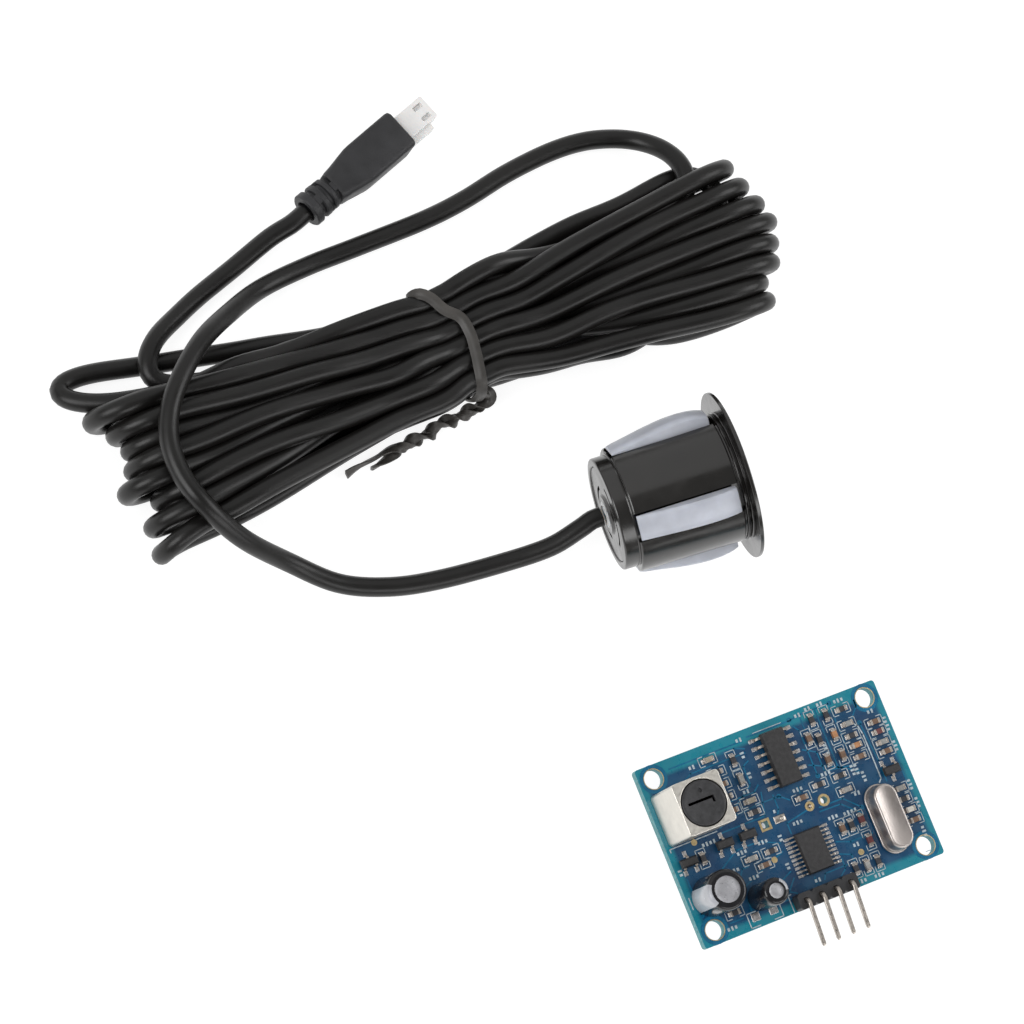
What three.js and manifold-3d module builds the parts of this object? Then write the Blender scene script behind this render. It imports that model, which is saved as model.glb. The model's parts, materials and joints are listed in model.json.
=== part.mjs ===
// Waterproof ultrasonic distance sensor: a flanged probe lying on its side, its long thin lead wound
// in a tied hank and ending in a moulded plug, and the loose driver board that the plug fits.
// Millimetres, +Z up. Everything rests on Z = 0; X runs along the board's long side.
import * as THREE from 'three';
import { mergeVertices } from 'three/addons/utils/BufferGeometryUtils.js';
import Module from 'manifold-3d';

const wasm = await Module();
wasm.setup();

// ---------- driving dimensions ----------
const GAP = 0.3; // clearance between pieces that touch
const HAIR = 0.12; // clearance between small parts soldered or bonded together

// probe, along its own axis from the rear face (0) to the front of the flange
const PROBE = {
  flangeCentre: [9.3, 28.9],
  heading: -3.6, // degrees from +X, seen from above
  length: 20.5,
  flangeRadius: 13.0,
  flangeThickness: 0.6,
  bodyRearRadius: 9.7,
  bodyFrontRadius: 9.95,
  collarRadius: 8.75,
  collarLength: 2.3,
  boreRadius: 7.5,
  faceBoreRadius: 8.2,
};
const STRIP = {
  start: 2.6,
  end: 18.2,
  width: 4.0,
  seat: 9.35, // radius of the strip's inner face
  grooveFloor: 8.4,
  firstAngle: 29, // degrees round the probe's axis
  count: 4,
};

// driver board
const BOARD = {
  centre: [0, -21.4],
  underside: 5.0,
  size: [41.4, 28.4, 1.6],
  holeRadius: 1.5,
  holeInset: [2.45, 2.15],
};

// lead: the cord's own sizes and where it lies
const CORD_RADIUS = 1.5;
const HANK = { bottom: 0.2, height: 12.5, lobeHeight: 5.2 };
const TIE = { centre: [-21, 63.3], turn: 8, width: 1.7, thickness: 0.7 };
const TIED_SECTION = { width: 17.4, low: 1.3, high: 9.6 };
const PLUG = { front: [-16.0, 97.3], heading: 21.6, bodyLength: 14.6, bodyWidth: 6.7, bodyHeight: 6.3 };

// ---------- finishes ----------
const finish = (colour, roughness, metalness = 0) =>
  new THREE.MeshStandardMaterial({ color: colour, roughness, metalness });
const FINISH = {
  glossBlack: finish(0x101011, 0.18),
  satinBlack: finish(0x16161a, 0.45),
  mattBlack: finish(0x1b1b1d, 0.7),
  milky: finish(0xd5d7de, 0.4),
  aluminium: finish(0xc9cacc, 0.3, 1),
  tinned: finish(0xb9b4ac, 0.28, 1),
  nickel: finish(0xbdb7ae, 0.32, 1),
  copper: finish(0xb5703a, 0.35, 1),
  piezo: finish(0xd9d2bd, 0.6),
  foam: finish(0x4b4b4d, 0.95),
  potting: finish(0xb9bcc0, 0.55),
  nylon: finish(0xefeeea, 0.45),
  boardBlue: finish(0x0e5a86, 0.4),
  ceramicTan: finish(0xa88a68, 0.6),
  quartz: finish(0xe4e8ea, 0.1),
  wireRed: finish(0xa52620, 0.5),
  wireWhite: finish(0xdedbd2, 0.5),
};

// ---------- solid helpers ----------
function toSolid(geometry) {
  const bare = geometry.clone();
  bare.deleteAttribute('normal');
  bare.deleteAttribute('uv');
  const merged = mergeVertices(bare, 1e-4);
  return new wasm.Manifold(new wasm.Mesh({
    numProp: 3,
    vertProperties: merged.attributes.position.array,
    triVerts: new Uint32Array(merged.index.array),
  }));
}

function toGeometry(solid) {
  const { vertProperties, triVerts } = solid.getMesh();
  const geometry = new THREE.BufferGeometry();
  geometry.setAttribute('position', new THREE.BufferAttribute(new Float32Array(vertProperties), 3));
  geometry.setIndex(new THREE.BufferAttribute(new Uint32Array(triVerts), 1));
  const flat = geometry.toNonIndexed();
  flat.computeVertexNormals();
  return flat;
}

function cut(base, tools) {
  return toGeometry(tools.reduce((solid, tool) => solid.subtract(toSolid(tool)), toSolid(base)));
}

function join(pieces) {
  return toGeometry(pieces.slice(1).reduce((solid, piece) => solid.add(toSolid(piece)), toSolid(pieces[0])));
}

// A block standing on z, centred on x and y.
function block(width, depth, height, x = 0, y = 0, z = 0) {
  return new THREE.BoxGeometry(width, depth, height).translate(x, y, z + height / 2);
}

// An upright cylinder standing on z.
function drum(radius, height, x = 0, y = 0, z = 0, sides = 24) {
  return new THREE.CylinderGeometry(radius, radius, height, sides)
    .rotateX(Math.PI / 2)
    .translate(x, y, z + height / 2);
}

// A turned piece about Z from an anticlockwise profile of [radius, height] points.
function turned(profile, sides = 40) {
  const points = profile.map(([radius, height]) => new THREE.Vector2(radius, height));
  return new THREE.LatheGeometry(points, sides).rotateX(Math.PI / 2);
}

// A ring of rectangular section.
function ring(inner, outer, low, high, sides = 40) {
  return turned([[inner, low], [outer, low], [outer, high], [inner, high], [inner, low]], sides);
}

function roundedRectangle(width, depth, radius) {
  const shape = new THREE.Shape();
  const [x, y] = [width / 2 - radius, depth / 2 - radius];
  shape.absarc(x, y, radius, 0, Math.PI / 2);
  shape.absarc(-x, y, radius, Math.PI / 2, Math.PI);
  shape.absarc(-x, -y, radius, Math.PI, 1.5 * Math.PI);
  shape.absarc(x, -y, radius, 1.5 * Math.PI, 2 * Math.PI);
  return shape;
}

// An upright slab with an optional rounded rim of the given size.
function slab(shape, height, { z = 0, rim = 0, rimSteps = 2, curveSegments = 2 } = {}) {
  return new THREE.ExtrudeGeometry(shape, {
    depth: height - 2 * rim,
    curveSegments,
    bevelEnabled: rim > 0,
    bevelThickness: rim,
    bevelSize: rim,
    bevelOffset: -rim,
    bevelSegments: rimSteps,
  }).translate(0, 0, z + rim);
}

// A plain eight-sided tube along a curve.
function tube(curve, radius, steps) {
  const section = new THREE.Shape();
  section.absarc(0, 0, radius, 0, 2 * Math.PI);
  return new THREE.ExtrudeGeometry(section, {
    steps,
    curveSegments: 4,
    extrudePath: curve,
    bevelEnabled: false,
  });
}

function add(group, name, geometry, material) {
  const mesh = new THREE.Mesh(geometry, material);
  mesh.name = name;
  group.add(mesh);
  return mesh;
}

const radians = (degrees) => (degrees * Math.PI) / 180;
const vectors = (points) => points.map((point) => new THREE.Vector3(...point));

// ---------- probe ----------
const flangeRear = PROBE.length - PROBE.flangeThickness;
const bodyRear = PROBE.collarLength + 0.35;
// the probe rests on the flange's rear edge and on the rear edge of its body
const probePitch = Math.atan((PROBE.flangeRadius - PROBE.bodyRearRadius) / (flangeRear - bodyRear));

function probeHousing() {
  const { collarLength, collarRadius, bodyRearRadius, bodyFrontRadius, flangeRadius, length } = PROBE;
  const neckFloor = bodyFrontRadius - 0.35;
  const shell = turned([
    [PROBE.boreRadius, 0],
    [collarRadius - 0.2, 0],
    [collarRadius, 0.2],
    [collarRadius, collarLength],
    [bodyRearRadius - 0.3, collarLength],
    [bodyRearRadius, bodyRear],
    [bodyFrontRadius, 18.6],
    [neckFloor, 18.75],
    [neckFloor, 19.0],
    [bodyFrontRadius, 19.15],
    [bodyFrontRadius, 19.4],
    [neckFloor, 19.55],
    [neckFloor, 19.65],
    [bodyFrontRadius, 19.75],
    [bodyFrontRadius, flangeRear],
    [flangeRadius, flangeRear],
    [flangeRadius, length - 0.2],
    [flangeRadius - 0.2, length],
    [PROBE.faceBoreRadius, length],
    [PROBE.faceBoreRadius, 18.6],
    [PROBE.boreRadius, 18.6],
    [PROBE.boreRadius, 0],
  ]);
  const groove = { width: STRIP.width + 2 * GAP, start: STRIP.start - GAP, end: STRIP.end + 0.8 };
  const grooves = stripAngles().map((angle) =>
    block(3, groove.width, groove.end - groove.start, STRIP.grooveFloor + 1.5, 0, groove.start)
      .rotateZ(angle));
  return cut(shell, grooves);
}

function stripAngles() {
  return Array.from({ length: STRIP.count }, (_, k) => radians(STRIP.firstAngle + (k * 360) / STRIP.count));
}

// A bowed strip: flat inner face, outer face rising towards the flange.
function retainingStrip() {
  const side = new THREE.Shape();
  side.moveTo(STRIP.start, STRIP.seat);
  side.lineTo(STRIP.end, STRIP.seat);
  side.lineTo(STRIP.end, 11.0);
  side.splineThru([
    new THREE.Vector2(16.2, 11.6),
    new THREE.Vector2(12.5, 11.65),
    new THREE.Vector2(9.0, 11.2),
    new THREE.Vector2(6.0, 10.6),
    new THREE.Vector2(STRIP.start, 10.0),
  ]);
  side.closePath();
  const rim = 0.25;
  return new THREE.ExtrudeGeometry(side, {
    depth: STRIP.width - 2 * rim,
    curveSegments: 3,
    bevelThickness: rim,
    bevelSize: rim,
    bevelOffset: -rim,
    bevelSegments: 1,
  })
    .translate(0, 0, rim - STRIP.width / 2)
    .applyMatrix4(new THREE.Matrix4().makeBasis(
      new THREE.Vector3(0, 0, 1),
      new THREE.Vector3(1, 0, 0),
      new THREE.Vector3(0, 1, 0),
    ));
}

const WIRE = { offset: 1.4, radius: 0.4, hole: 0.8 };
const wireHoles = (low, high) =>
  [-1, 1].map((side) => drum(WIRE.hole, high - low + 2, side * WIRE.offset, 0, low - 1, 12));

function rearCap() {
  const disc = turned([[0, 0.15], [7.1, 0.15], [7.3, 0.35], [7.3, 1.4], [0, 1.4]], 40);
  const boss = turned([[0, -0.15], [3.0, -0.15], [3.3, 0.6], [0, 0.6]], 32);
  // a half-ring slot on the side of the given direction
  const slot = (radius, direction) => {
    const arc = ring(radius, radius + 0.55, -1, 0.75, 40);
    const half = block(20, 20, 4, 10 * Math.cos(direction), 10 * Math.sin(direction), -2);
    return toGeometry(toSolid(arc).intersect(toSolid(half)));
  };
  const slots = [slot(4.1, radians(20)), slot(5.6, radians(200))];
  return cut(join([disc, boss]), [...slots, drum(2.0, 6, 0, 0, -2, 20)]);
}

function buildProbe() {
  const probe = new THREE.Group();
  const { length } = PROBE;
  add(probe, 'probe_housing', probeHousing(), FINISH.glossBlack);
  add(probe, 'probe_rear_cap', rearCap(), FINISH.glossBlack);
  add(probe, 'cable_seal', ring(1.6, 1.85, -0.5, 1.6, 20), FINISH.milky);
  add(probe, 'transducer_cup', turned([
    [5.7, 12], [6.4, 12], [6.4, 19.4], [7.3, 19.4], [7.3, length - 0.1], [0, length - 0.1],
    [0, length - 0.9], [5.7, length - 0.9], [5.7, 12],
  ]), FINISH.aluminium);
  add(probe, 'isolation_ring', turned([
    [6.6, 12.2], [7.3, 12.2], [7.3, 18.8], [8.0, 18.8], [8.0, length - 0.3], [7.5, length - 0.3],
    [7.5, 19.2], [6.6, 19.2], [6.6, 12.2],
  ]), FINISH.mattBlack);
  add(probe, 'piezo_disc', drum(4.5, 0.5, 0, 0, length - 0.9 - HAIR - 0.5, 32), FINISH.piezo);
  add(probe, 'damper_foam', cut(drum(5.4, 5.6, 0, 0, 13.2, 32), wireHoles(13.2, 18.8)), FINISH.foam);
  add(probe, 'potting_compound', cut(drum(7.2, 9.3, 0, 0, 1.7, 32), wireHoles(1.7, 11)), FINISH.potting);
  add(probe, 'core_wire', drum(WIRE.radius, 16.8, WIRE.offset, 0, 1.9, 8), FINISH.wireRed);
  add(probe, 'shield_wire', drum(WIRE.radius, 11.0, -WIRE.offset, 0, 1.9, 8), FINISH.wireWhite);
  stripAngles().forEach((angle, k) => {
    const strip = add(probe, `retaining_strip_${k + 1}`, retainingStrip(), FINISH.milky);
    strip.rotation.z = angle;
  });

  probe.rotation.order = 'ZYX';
  probe.rotation.set(0, Math.PI / 2 - probePitch, radians(PROBE.heading));
  probe.position.copy(probePoint(0));
  return probe;
}

// The point on the probe's axis at a distance from its rear face, in the part's frame.
function probePoint(distance) {
  const heading = radians(PROBE.heading);
  const along = new THREE.Vector3(
    Math.cos(heading) * Math.cos(probePitch),
    Math.sin(heading) * Math.cos(probePitch),
    Math.sin(probePitch),
  );
  const flangeHeight = PROBE.flangeRadius * Math.cos(probePitch);
  return new THREE.Vector3(...PROBE.flangeCentre, flangeHeight)
    .addScaledVector(along, distance - flangeRear);
}

// ---------- lead ----------
// From the probe the lead drops to the floor, turns back over the hank's left end and runs along
// its far side to the right end, where the winding begins.
const LEAD_ROUTE = [
  [-15.2, 29.5, 7.7],
  [-19.5, 28.8, 6.0],
  [-26.2, 29.2, 3.8],
  [-36.3, 30.3, 2.0],
  [-44.0, 31.9, 1.65],
  [-51.1, 34.9, 2.0],
  [-57.6, 39.9, 4.4],
  [-64.5, 44.7, 10.4],
  [-68.9, 50.3, 14.4],
  [-70.7, 56.0, 14.7],
  [-70.5, 61.4, 14.7],
  [-68.5, 65.9, 14.7],
  [-65.0, 70.0, 14.6],
  [-59.7, 74.3, 12.2],
  [-53.1, 77.8, 7.6],
  [-45.7, 80.8, 3.3],
  [-37.2, 82.2, 1.7],
  [-28.8, 82.7, 1.55],
  [-17.2, 83.4, 1.55],
  [-9.6, 84.5, 1.55],
  [-1.5, 86.4, 1.55],
  [6.3, 87.5, 1.55],
  [12.2, 87.5, 1.55],
  [17.2, 86.4, 1.7],
  [20.8, 84.4, 2.8],
  [22.6, 81.9, 4.6],
];
const TAIL_ROUTE = [
  [-63.0, 79.2, 3.2],
  [-60.2, 80.5, 2.4],
  [-55.0, 82.9, 1.7],
  [-48.2, 85.4, 1.9],
  [-41.4, 87.9, 2.7],
];

// The hank's outline from above: fans at both ends, pinched at the tie.
const HANK_OUTLINE = [
  [-80.2, 48.6], [-76.5, 45.6], [-66.0, 47.6], [-51.0, 50.0], [-28.5, 53.0], [-9.0, 54.3],
  [11.0, 53.3], [27.0, 51.6], [33.5, 52.6], [37.0, 57.0], [37.4, 66.0], [36.2, 74.5], [31.0, 78.9],
  [17.5, 79.7], [3.0, 78.0], [-9.0, 75.4], [-24.0, 72.9], [-45.0, 72.9], [-66.0, 73.4],
  [-79.0, 73.2], [-82.6, 69.5], [-81.6, 58.0],
];
// The lowest loop of the hank lies flatter and reaches further out on the far side.
const LOW_LOOP_OUTLINE = [
  [-83.0, 71.0], [-82.8, 76.6], [-78.0, 78.8], [-58.0, 76.6], [-40.0, 73.8], [-40.0, 66.0], [-60.0, 64.0],
  [-78.0, 66.0],
];

function smoothOutline(points, divisions) {
  const curve = new THREE.CatmullRomCurve3(vectors(points.map(([x, y]) => [x, y, 0])), true);
  return new THREE.Shape(curve.getPoints(divisions).slice(0, -1).map(({ x, y }) => new THREE.Vector2(x, y)));
}

function aroundTie(geometry) {
  return geometry.rotateZ(radians(TIE.turn)).translate(...TIE.centre, 0);
}

// The tied section seen along the hank, as a slab of the given width along it.
function tiedSection(grow, width) {
  const { low, high } = TIED_SECTION;
  const height = high - low;
  const shape = roundedRectangle(TIED_SECTION.width + 2 * grow, height + 2 * grow, 3.2 + grow);
  const depth = new THREE.ExtrudeGeometry(shape, { depth: width, curveSegments: 5, bevelEnabled: false })
    .translate(0, (low + high) / 2, -width / 2)
    .applyMatrix4(new THREE.Matrix4().makeBasis(
      new THREE.Vector3(0, 1, 0),
      new THREE.Vector3(0, 0, 1),
      new THREE.Vector3(1, 0, 0),
    ));
  return aroundTie(depth);
}

function hank() {
  const fans = slab(smoothOutline(HANK_OUTLINE, 56), HANK.height, { z: HANK.bottom, rim: 4.2, rimSteps: 3 });
  const lowLoop = slab(smoothOutline(LOW_LOOP_OUTLINE, 24), HANK.lobeHeight, { z: HANK.bottom, rim: 0.8 });
  const channelWidth = TIE.width + 2 * GAP;
  const channel = aroundTie(block(channelWidth, 40, 30, 0, 0, -5));
  const waist = tiedSection(0, channelWidth + 1);
  const body = toSolid(join([fans, lowLoop])).subtract(toSolid(channel));
  return toGeometry(body.add(toSolid(waist)));
}

function tieLoop() {
  const outer = tiedSection(GAP + TIE.thickness, TIE.width);
  return cut(outer, [tiedSection(GAP, TIE.width + 2)]);
}

function buildLead() {
  const lead = new THREE.Group();
  const sealEnd = -0.5;
  const exit = probePoint(sealEnd - GAP);
  const straight = probePoint(sealEnd - 1.5);
  const leadCurve = new THREE.CatmullRomCurve3([exit, straight, ...vectors(LEAD_ROUTE)]);
  add(lead, 'cord_lead', tube(leadCurve, CORD_RADIUS, 52), FINISH.satinBlack);
  add(lead, 'cord_hank', hank(), FINISH.satinBlack);
  const reliefEnd = plugPoint(-PLUG.bodyLength - RELIEF_LENGTH - GAP);
  const beforeRelief = plugPoint(-PLUG.bodyLength - RELIEF_LENGTH - 3);
  const tailCurve = new THREE.CatmullRomCurve3([...vectors(TAIL_ROUTE), beforeRelief, reliefEnd]);
  add(lead, 'cord_tail', tube(tailCurve, CORD_RADIUS, 12), FINISH.satinBlack);
  add(lead, 'twist_tie_loop', tieLoop(), FINISH.mattBlack);
  const twistRoute = [
    [-19.6, 52.3, 2.6], [-22.0, 52.1, 1.6], [-25.5, 52.0, 1.2], [-30.0, 51.4, 1.1],
    [-35.0, 50.6, 1.1], [-39.5, 50.2, 1.1], [-43.8, 49.9, 1.1],
  ];
  add(lead, 'twist_tie_tail', tube(new THREE.CatmullRomCurve3(vectors(twistRoute)), 0.85, 14), FINISH.mattBlack);
  lead.add(buildPlug());
  return lead;
}

// ---------- plug ----------
const RELIEF_LENGTH = 5.4;
const plugAxisHeight = PLUG.bodyHeight / 2 + 0.1;

// The point on the plug's axis at a distance ahead of its front face.
function plugPoint(distance) {
  const heading = radians(PLUG.heading);
  return new THREE.Vector3(
    PLUG.front[0] + distance * Math.cos(heading),
    PLUG.front[1] + distance * Math.sin(heading),
    plugAxisHeight,
  );
}

// In the plug's own frame +X is forward, the front face is at 0 and the axis is at z = 0.
function plugBody() {
  const { bodyLength, bodyWidth, bodyHeight } = PLUG;
  const neck = 5.2;
  const plan = new THREE.Shape([
    [0, -bodyWidth / 2], [0, bodyWidth / 2], [-bodyLength + 5, bodyWidth / 2],
    [-bodyLength, neck / 2], [-bodyLength, -neck / 2], [-bodyLength + 5, -bodyWidth / 2],
  ].map(([x, y]) => new THREE.Vector2(x, y)));
  const body = slab(plan, bodyHeight, { z: -bodyHeight / 2, rim: 0.45, rimSteps: 2 });
  const sleeve = block(4.2, 4.7, 3.8, -1.6, 0, -1.9);
  return cut(body, [sleeve]);
}

function alongX(geometry) {
  return geometry.rotateY(Math.PI / 2);
}

function plugRelief() {
  const profile = [
    [1.7, 0], [2.45, 0], [2.6, 0.3], [2.6, 1.3], [2.1, 1.45], [2.1, 2.1], [2.75, 2.25], [2.75, 3.3],
    [2.2, 3.45], [2.2, 4.1], [2.75, 4.25], [2.75, RELIEF_LENGTH - GAP], [1.7, RELIEF_LENGTH - GAP], [1.7, 0],
  ];
  return alongX(turned(profile, 24)).translate(-PLUG.bodyLength - RELIEF_LENGTH, 0, 0);
}

const CONTACT = { pitch: 2.0, radius: 0.3 };

function plugNylonTip() {
  const main = block(9.0, 4.1, 3.2, 1.7, 0, -1.6);
  const rib = block(8.0, 3.0, 0.9, 1.2, 0, -1.8);
  const bores = [-1, 1].map((side) => block(9, 1.1, 1.1, 3.2, (side * CONTACT.pitch) / 2, -0.55));
  return cut(join([main, rib]), bores);
}

function buildPlug() {
  const plug = new THREE.Group();
  add(plug, 'plug_body', plugBody(), FINISH.satinBlack);
  add(plug, 'plug_strain_relief', plugRelief(), FINISH.satinBlack);
  add(plug, 'plug_nylon_tip', plugNylonTip(), FINISH.nylon);
  [-1, 1].forEach((side, k) => {
    const terminal = block(6.4, 0.7, 0.7, 2.3, (side * CONTACT.pitch) / 2, -0.35);
    add(plug, `plug_terminal_${k + 1}`, terminal, FINISH.tinned);
  });
  plug.rotation.z = radians(PLUG.heading);
  plug.position.copy(plugPoint(0));
  return plug;
}

// ---------- driver board ----------
// In the board's frame the origin is the middle of the board's underside.
const boardTop = BOARD.size[2];
const mountingHoles = [-1, 1].flatMap((sx) => [-1, 1].map((sy) => [
  sx * (BOARD.size[0] / 2 - BOARD.holeInset[0]),
  sy * (BOARD.size[1] / 2 - BOARD.holeInset[1]),
]));
const PLATED_HOLES = [[-4.55, -0.35], [5.7, -0.1]];
const PIN = { count: 4, pitch: 2.54, width: 0.64, across: -0.1, row: -13.0, reach: 7.3, droop: 1.0 };
const pinX = (k) => PIN.across + (k - (PIN.count - 1) / 2) * PIN.pitch;

function circuitBoard() {
  const outline = roundedRectangle(BOARD.size[0], BOARD.size[1], 0.4);
  const drill = (x, y, radius) => {
    const hole = new THREE.Path();
    hole.absarc(x, y, radius, 0, 2 * Math.PI, true);
    outline.holes.push(hole);
  };
  mountingHoles.forEach(([x, y]) => drill(x, y, BOARD.holeRadius));
  PLATED_HOLES.forEach(([x, y]) => drill(x, y, 0.55));
  for (let k = 0; k < PIN.count; k += 1) {
    drill(pinX(k), PIN.row, 0.62);
  }
  return slab(outline, BOARD.size[2], { curveSegments: 8 });
}

const HEADER = { width: 10.16, depth: 2.5, height: 2.5 };

function headerBlock() {
  const body = block(HEADER.width, HEADER.depth, HEADER.height, PIN.across, PIN.row, boardTop + HAIR);
  const holes = Array.from({ length: PIN.count }, (_, k) => block(0.9, 0.9, 8, pinX(k), PIN.row, boardTop - 1));
  return cut(body, holes);
}

// A square pin: up through the board and block, over its edge and out, drooping a little.
function headerPin(x) {
  const half = PIN.width / 2;
  const top = boardTop + HAIR + HEADER.height + 0.7;
  const outer = PIN.row - PIN.reach;
  const path = new THREE.CurvePath();
  const corner = new THREE.Vector3(x, PIN.row, top);
  const before = new THREE.Vector3(x, PIN.row, top - 0.75);
  const after = new THREE.Vector3(x, PIN.row - 0.75, top - 0.02);
  path.add(new THREE.LineCurve3(new THREE.Vector3(x, PIN.row, -1.3), before));
  path.add(new THREE.QuadraticBezierCurve3(before, corner, after));
  path.add(new THREE.LineCurve3(after, new THREE.Vector3(x, outer, top - PIN.droop)));
  const section = new THREE.Shape([[-half, -half], [half, -half], [half, half], [-half, half]]
    .map(([u, v]) => new THREE.Vector2(u, v)));
  return new THREE.ExtrudeGeometry(section, { steps: 24, extrudePath: path, bevelEnabled: false });
}

const COIL = { centre: [-16.1, 5.7], width: 7.8, depth: 8.1, height: 10.5, wall: 0.3, coreRadius: 3.45 };

function buildTransformer(board) {
  const [x, y] = COIL.centre;
  const { width, depth, height, wall, coreRadius } = COIL;
  const foot = boardTop + HAIR;
  const can = cut(slab(roundedRectangle(width, depth, 0.7), height, { z: foot, rim: 0.3 }), [
    slab(roundedRectangle(width - 2 * wall, depth - 2 * wall, 0.5), height - wall - 0.15, { z: foot - 0.15 }),
    drum(coreRadius + 0.14, 3, 0, 0, foot + height - 2, 32),
  ]).translate(x, y, 0);
  add(board, 'transformer_can', can, FINISH.nickel);

  const bobbin = join([
    block(width - 1.1, depth - 1.1, 1.4, 0, 0, foot + 0.1),
    drum(1.9, 4.2, 0, 0, foot + 1.2, 24),
  ]).translate(x, y, 0);
  add(board, 'transformer_bobbin', bobbin, FINISH.mattBlack);
  const winding = ring(2.1, 3.1, foot + 1.8, foot + 5.2, 32).translate(x, y, 0);
  add(board, 'transformer_winding', winding, FINISH.copper);

  const coreTop = foot + height + 0.05;
  const core = cut(drum(coreRadius, 4.2, 0, 0, coreTop - 4.2, 32), [
    block(4.2, 0.42, 1.2, -0.3, 0.45, coreTop - 0.6),
    block(0.42, 1.1, 1.2, 1.6, 0.0, coreTop - 0.6),
    drum(0.3, 1, 0.1, 1.9, coreTop - 0.3, 8),
  ]).translate(x, y, 0);
  add(board, 'tuning_core', core, FINISH.mattBlack);
}

function buildCrystal(board) {
  const [x, y] = [13.8, -6.2];
  const foot = boardTop + 0.25;
  add(board, 'crystal_base', slab(roundedRectangle(4.7, 11.0, 2.2), 0.55, { z: foot, curveSegments: 4 })
    .translate(x, y, 0), FINISH.nickel);
  const can = cut(slab(roundedRectangle(3.9, 10.2, 1.8), 2.9, { z: foot + 0.67, rim: 0.45, curveSegments: 4 }), [
    slab(roundedRectangle(3.2, 9.5, 1.4), 2.4, { z: foot + 0.5, curveSegments: 4 }),
  ]).translate(x, y, 0);
  add(board, 'crystal_can', can, FINISH.nickel);
  add(board, 'quartz_blank', slab(roundedRectangle(2.2, 8.0, 0.4), 0.4, { z: foot + 1.6 })
    .translate(x, y, 0), FINISH.quartz);
}

// An aluminium can inside a shrunk sleeve that laps over its top edge.
function buildElectrolytic(board, name, x, y, radius, height) {
  const foot = boardTop + HAIR;
  const canRadius = radius - 0.3;
  add(board, `${name}_can`, turned([
    [0, foot], [canRadius, foot], [canRadius, foot + height - 0.6],
    [canRadius - 0.3, foot + height - 0.3], [0, foot + height - 0.3],
  ], 24).translate(x, y, 0), FINISH.aluminium);
  add(board, `${name}_sleeve`, turned([
    [radius - 0.15, foot], [radius, foot], [radius, foot + height - 0.4], [radius - 0.35, foot + height],
    [radius * 0.68, foot + height], [radius * 0.68, foot + height - 0.15],
    [radius - 0.4, foot + height - 0.15], [radius - 0.15, foot + height - 0.45], [radius - 0.15, foot],
  ], 24).translate(x, y, 0), FINISH.glossBlack);
}

// A gull-wing package: body and leads along both long sides, the leads spaced along Y.
function gullWing(body, lead, leadYs) {
  const foot = boardTop + HAIR;
  const outline = roundedRectangle(body[0], body[1], 0.2);
  const shell = slab(outline, body[2], { z: foot + 0.1, rim: 0.12, rimSteps: 1, curveSegments: 2 });
  const legs = leadYs.flatMap(([side, y]) => {
    const out = side * (body[0] / 2);
    const tip = side * (lead.span / 2);
    const mid = (out + tip) / 2;
    return [
      block(Math.abs(mid - out) + 0.5, lead.width, lead.thick, (out + mid) / 2 - side * 0.1, y, foot + body[2] * 0.45),
      block(lead.thick * 1.4, lead.width, body[2] * 0.45 + lead.thick, mid, y, foot),
      block(Math.abs(tip - mid) + 0.1, lead.width, lead.thick, (mid + tip) / 2, y, foot),
    ];
  });
  return join([shell, ...legs]);
}

function rowOfLeads(count, pitch) {
  return [-1, 1].flatMap((side) =>
    Array.from({ length: count }, (_, k) => [side, (k - (count - 1) / 2) * pitch]));
}

function buildChips(board) {
  const driver = gullWing([3.9, 8.65, 1.5], { span: 6.2, width: 0.42, thick: 0.2 }, rowOfLeads(7, 1.27));
  add(board, 'driver_chip', driver.translate(1.55, 8.2, 0), FINISH.mattBlack);
  const controller = gullWing([4.4, 6.5, 1.0], { span: 6.4, width: 0.24, thick: 0.15 }, rowOfLeads(10, 0.65));
  add(board, 'controller_chip', controller.translate(0.9, -6.55, 0), FINISH.mattBlack);

  // transistor places: x, y and quarter turns, with the single lead on the far side at 1
  const TRANSISTORS = [[-18.2, -1.35, 1], [-11.85, -0.75, 1], [-7.95, -0.75, 1], [17.6, 0.4, -1]];
  TRANSISTORS.forEach(([x, y, turns], k) => {
    const leads = [[1, 0], [-1, 0.95], [-1, -0.95]];
    const shape = gullWing([1.35, 2.9, 1.0], { span: 2.7, width: 0.42, thick: 0.15 }, leads);
    add(board, `transistor_${k + 1}`, shape.rotateZ((turns * Math.PI) / 2).translate(x, y, 0), FINISH.mattBlack);
  });
}

// The largest chip capacitors and resistors: x, y and whether they lie along Y.
const CHIP_PLACES = [
  [-9.2, 11.8, false], [-5.5, 7.3, true], [-5.4, 3.8, false], [-7.1, -5.9, false],
  [9.6, 0.1, false], [6.6, -5.1, true], [13.9, 9.3, false], [11.2, 8.5, true],
];

function buildPassives(board) {
  CHIP_PLACES.forEach(([x, y, alongY], k) => {
    const chip = block(1.7, 0.85, 0.7, 0, 0, boardTop + HAIR)
      .rotateZ(alongY ? Math.PI / 2 : 0)
      .translate(x, y, 0);
    add(board, `chip_part_${k + 1}`, chip, FINISH.ceramicTan);
  });
}

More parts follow.
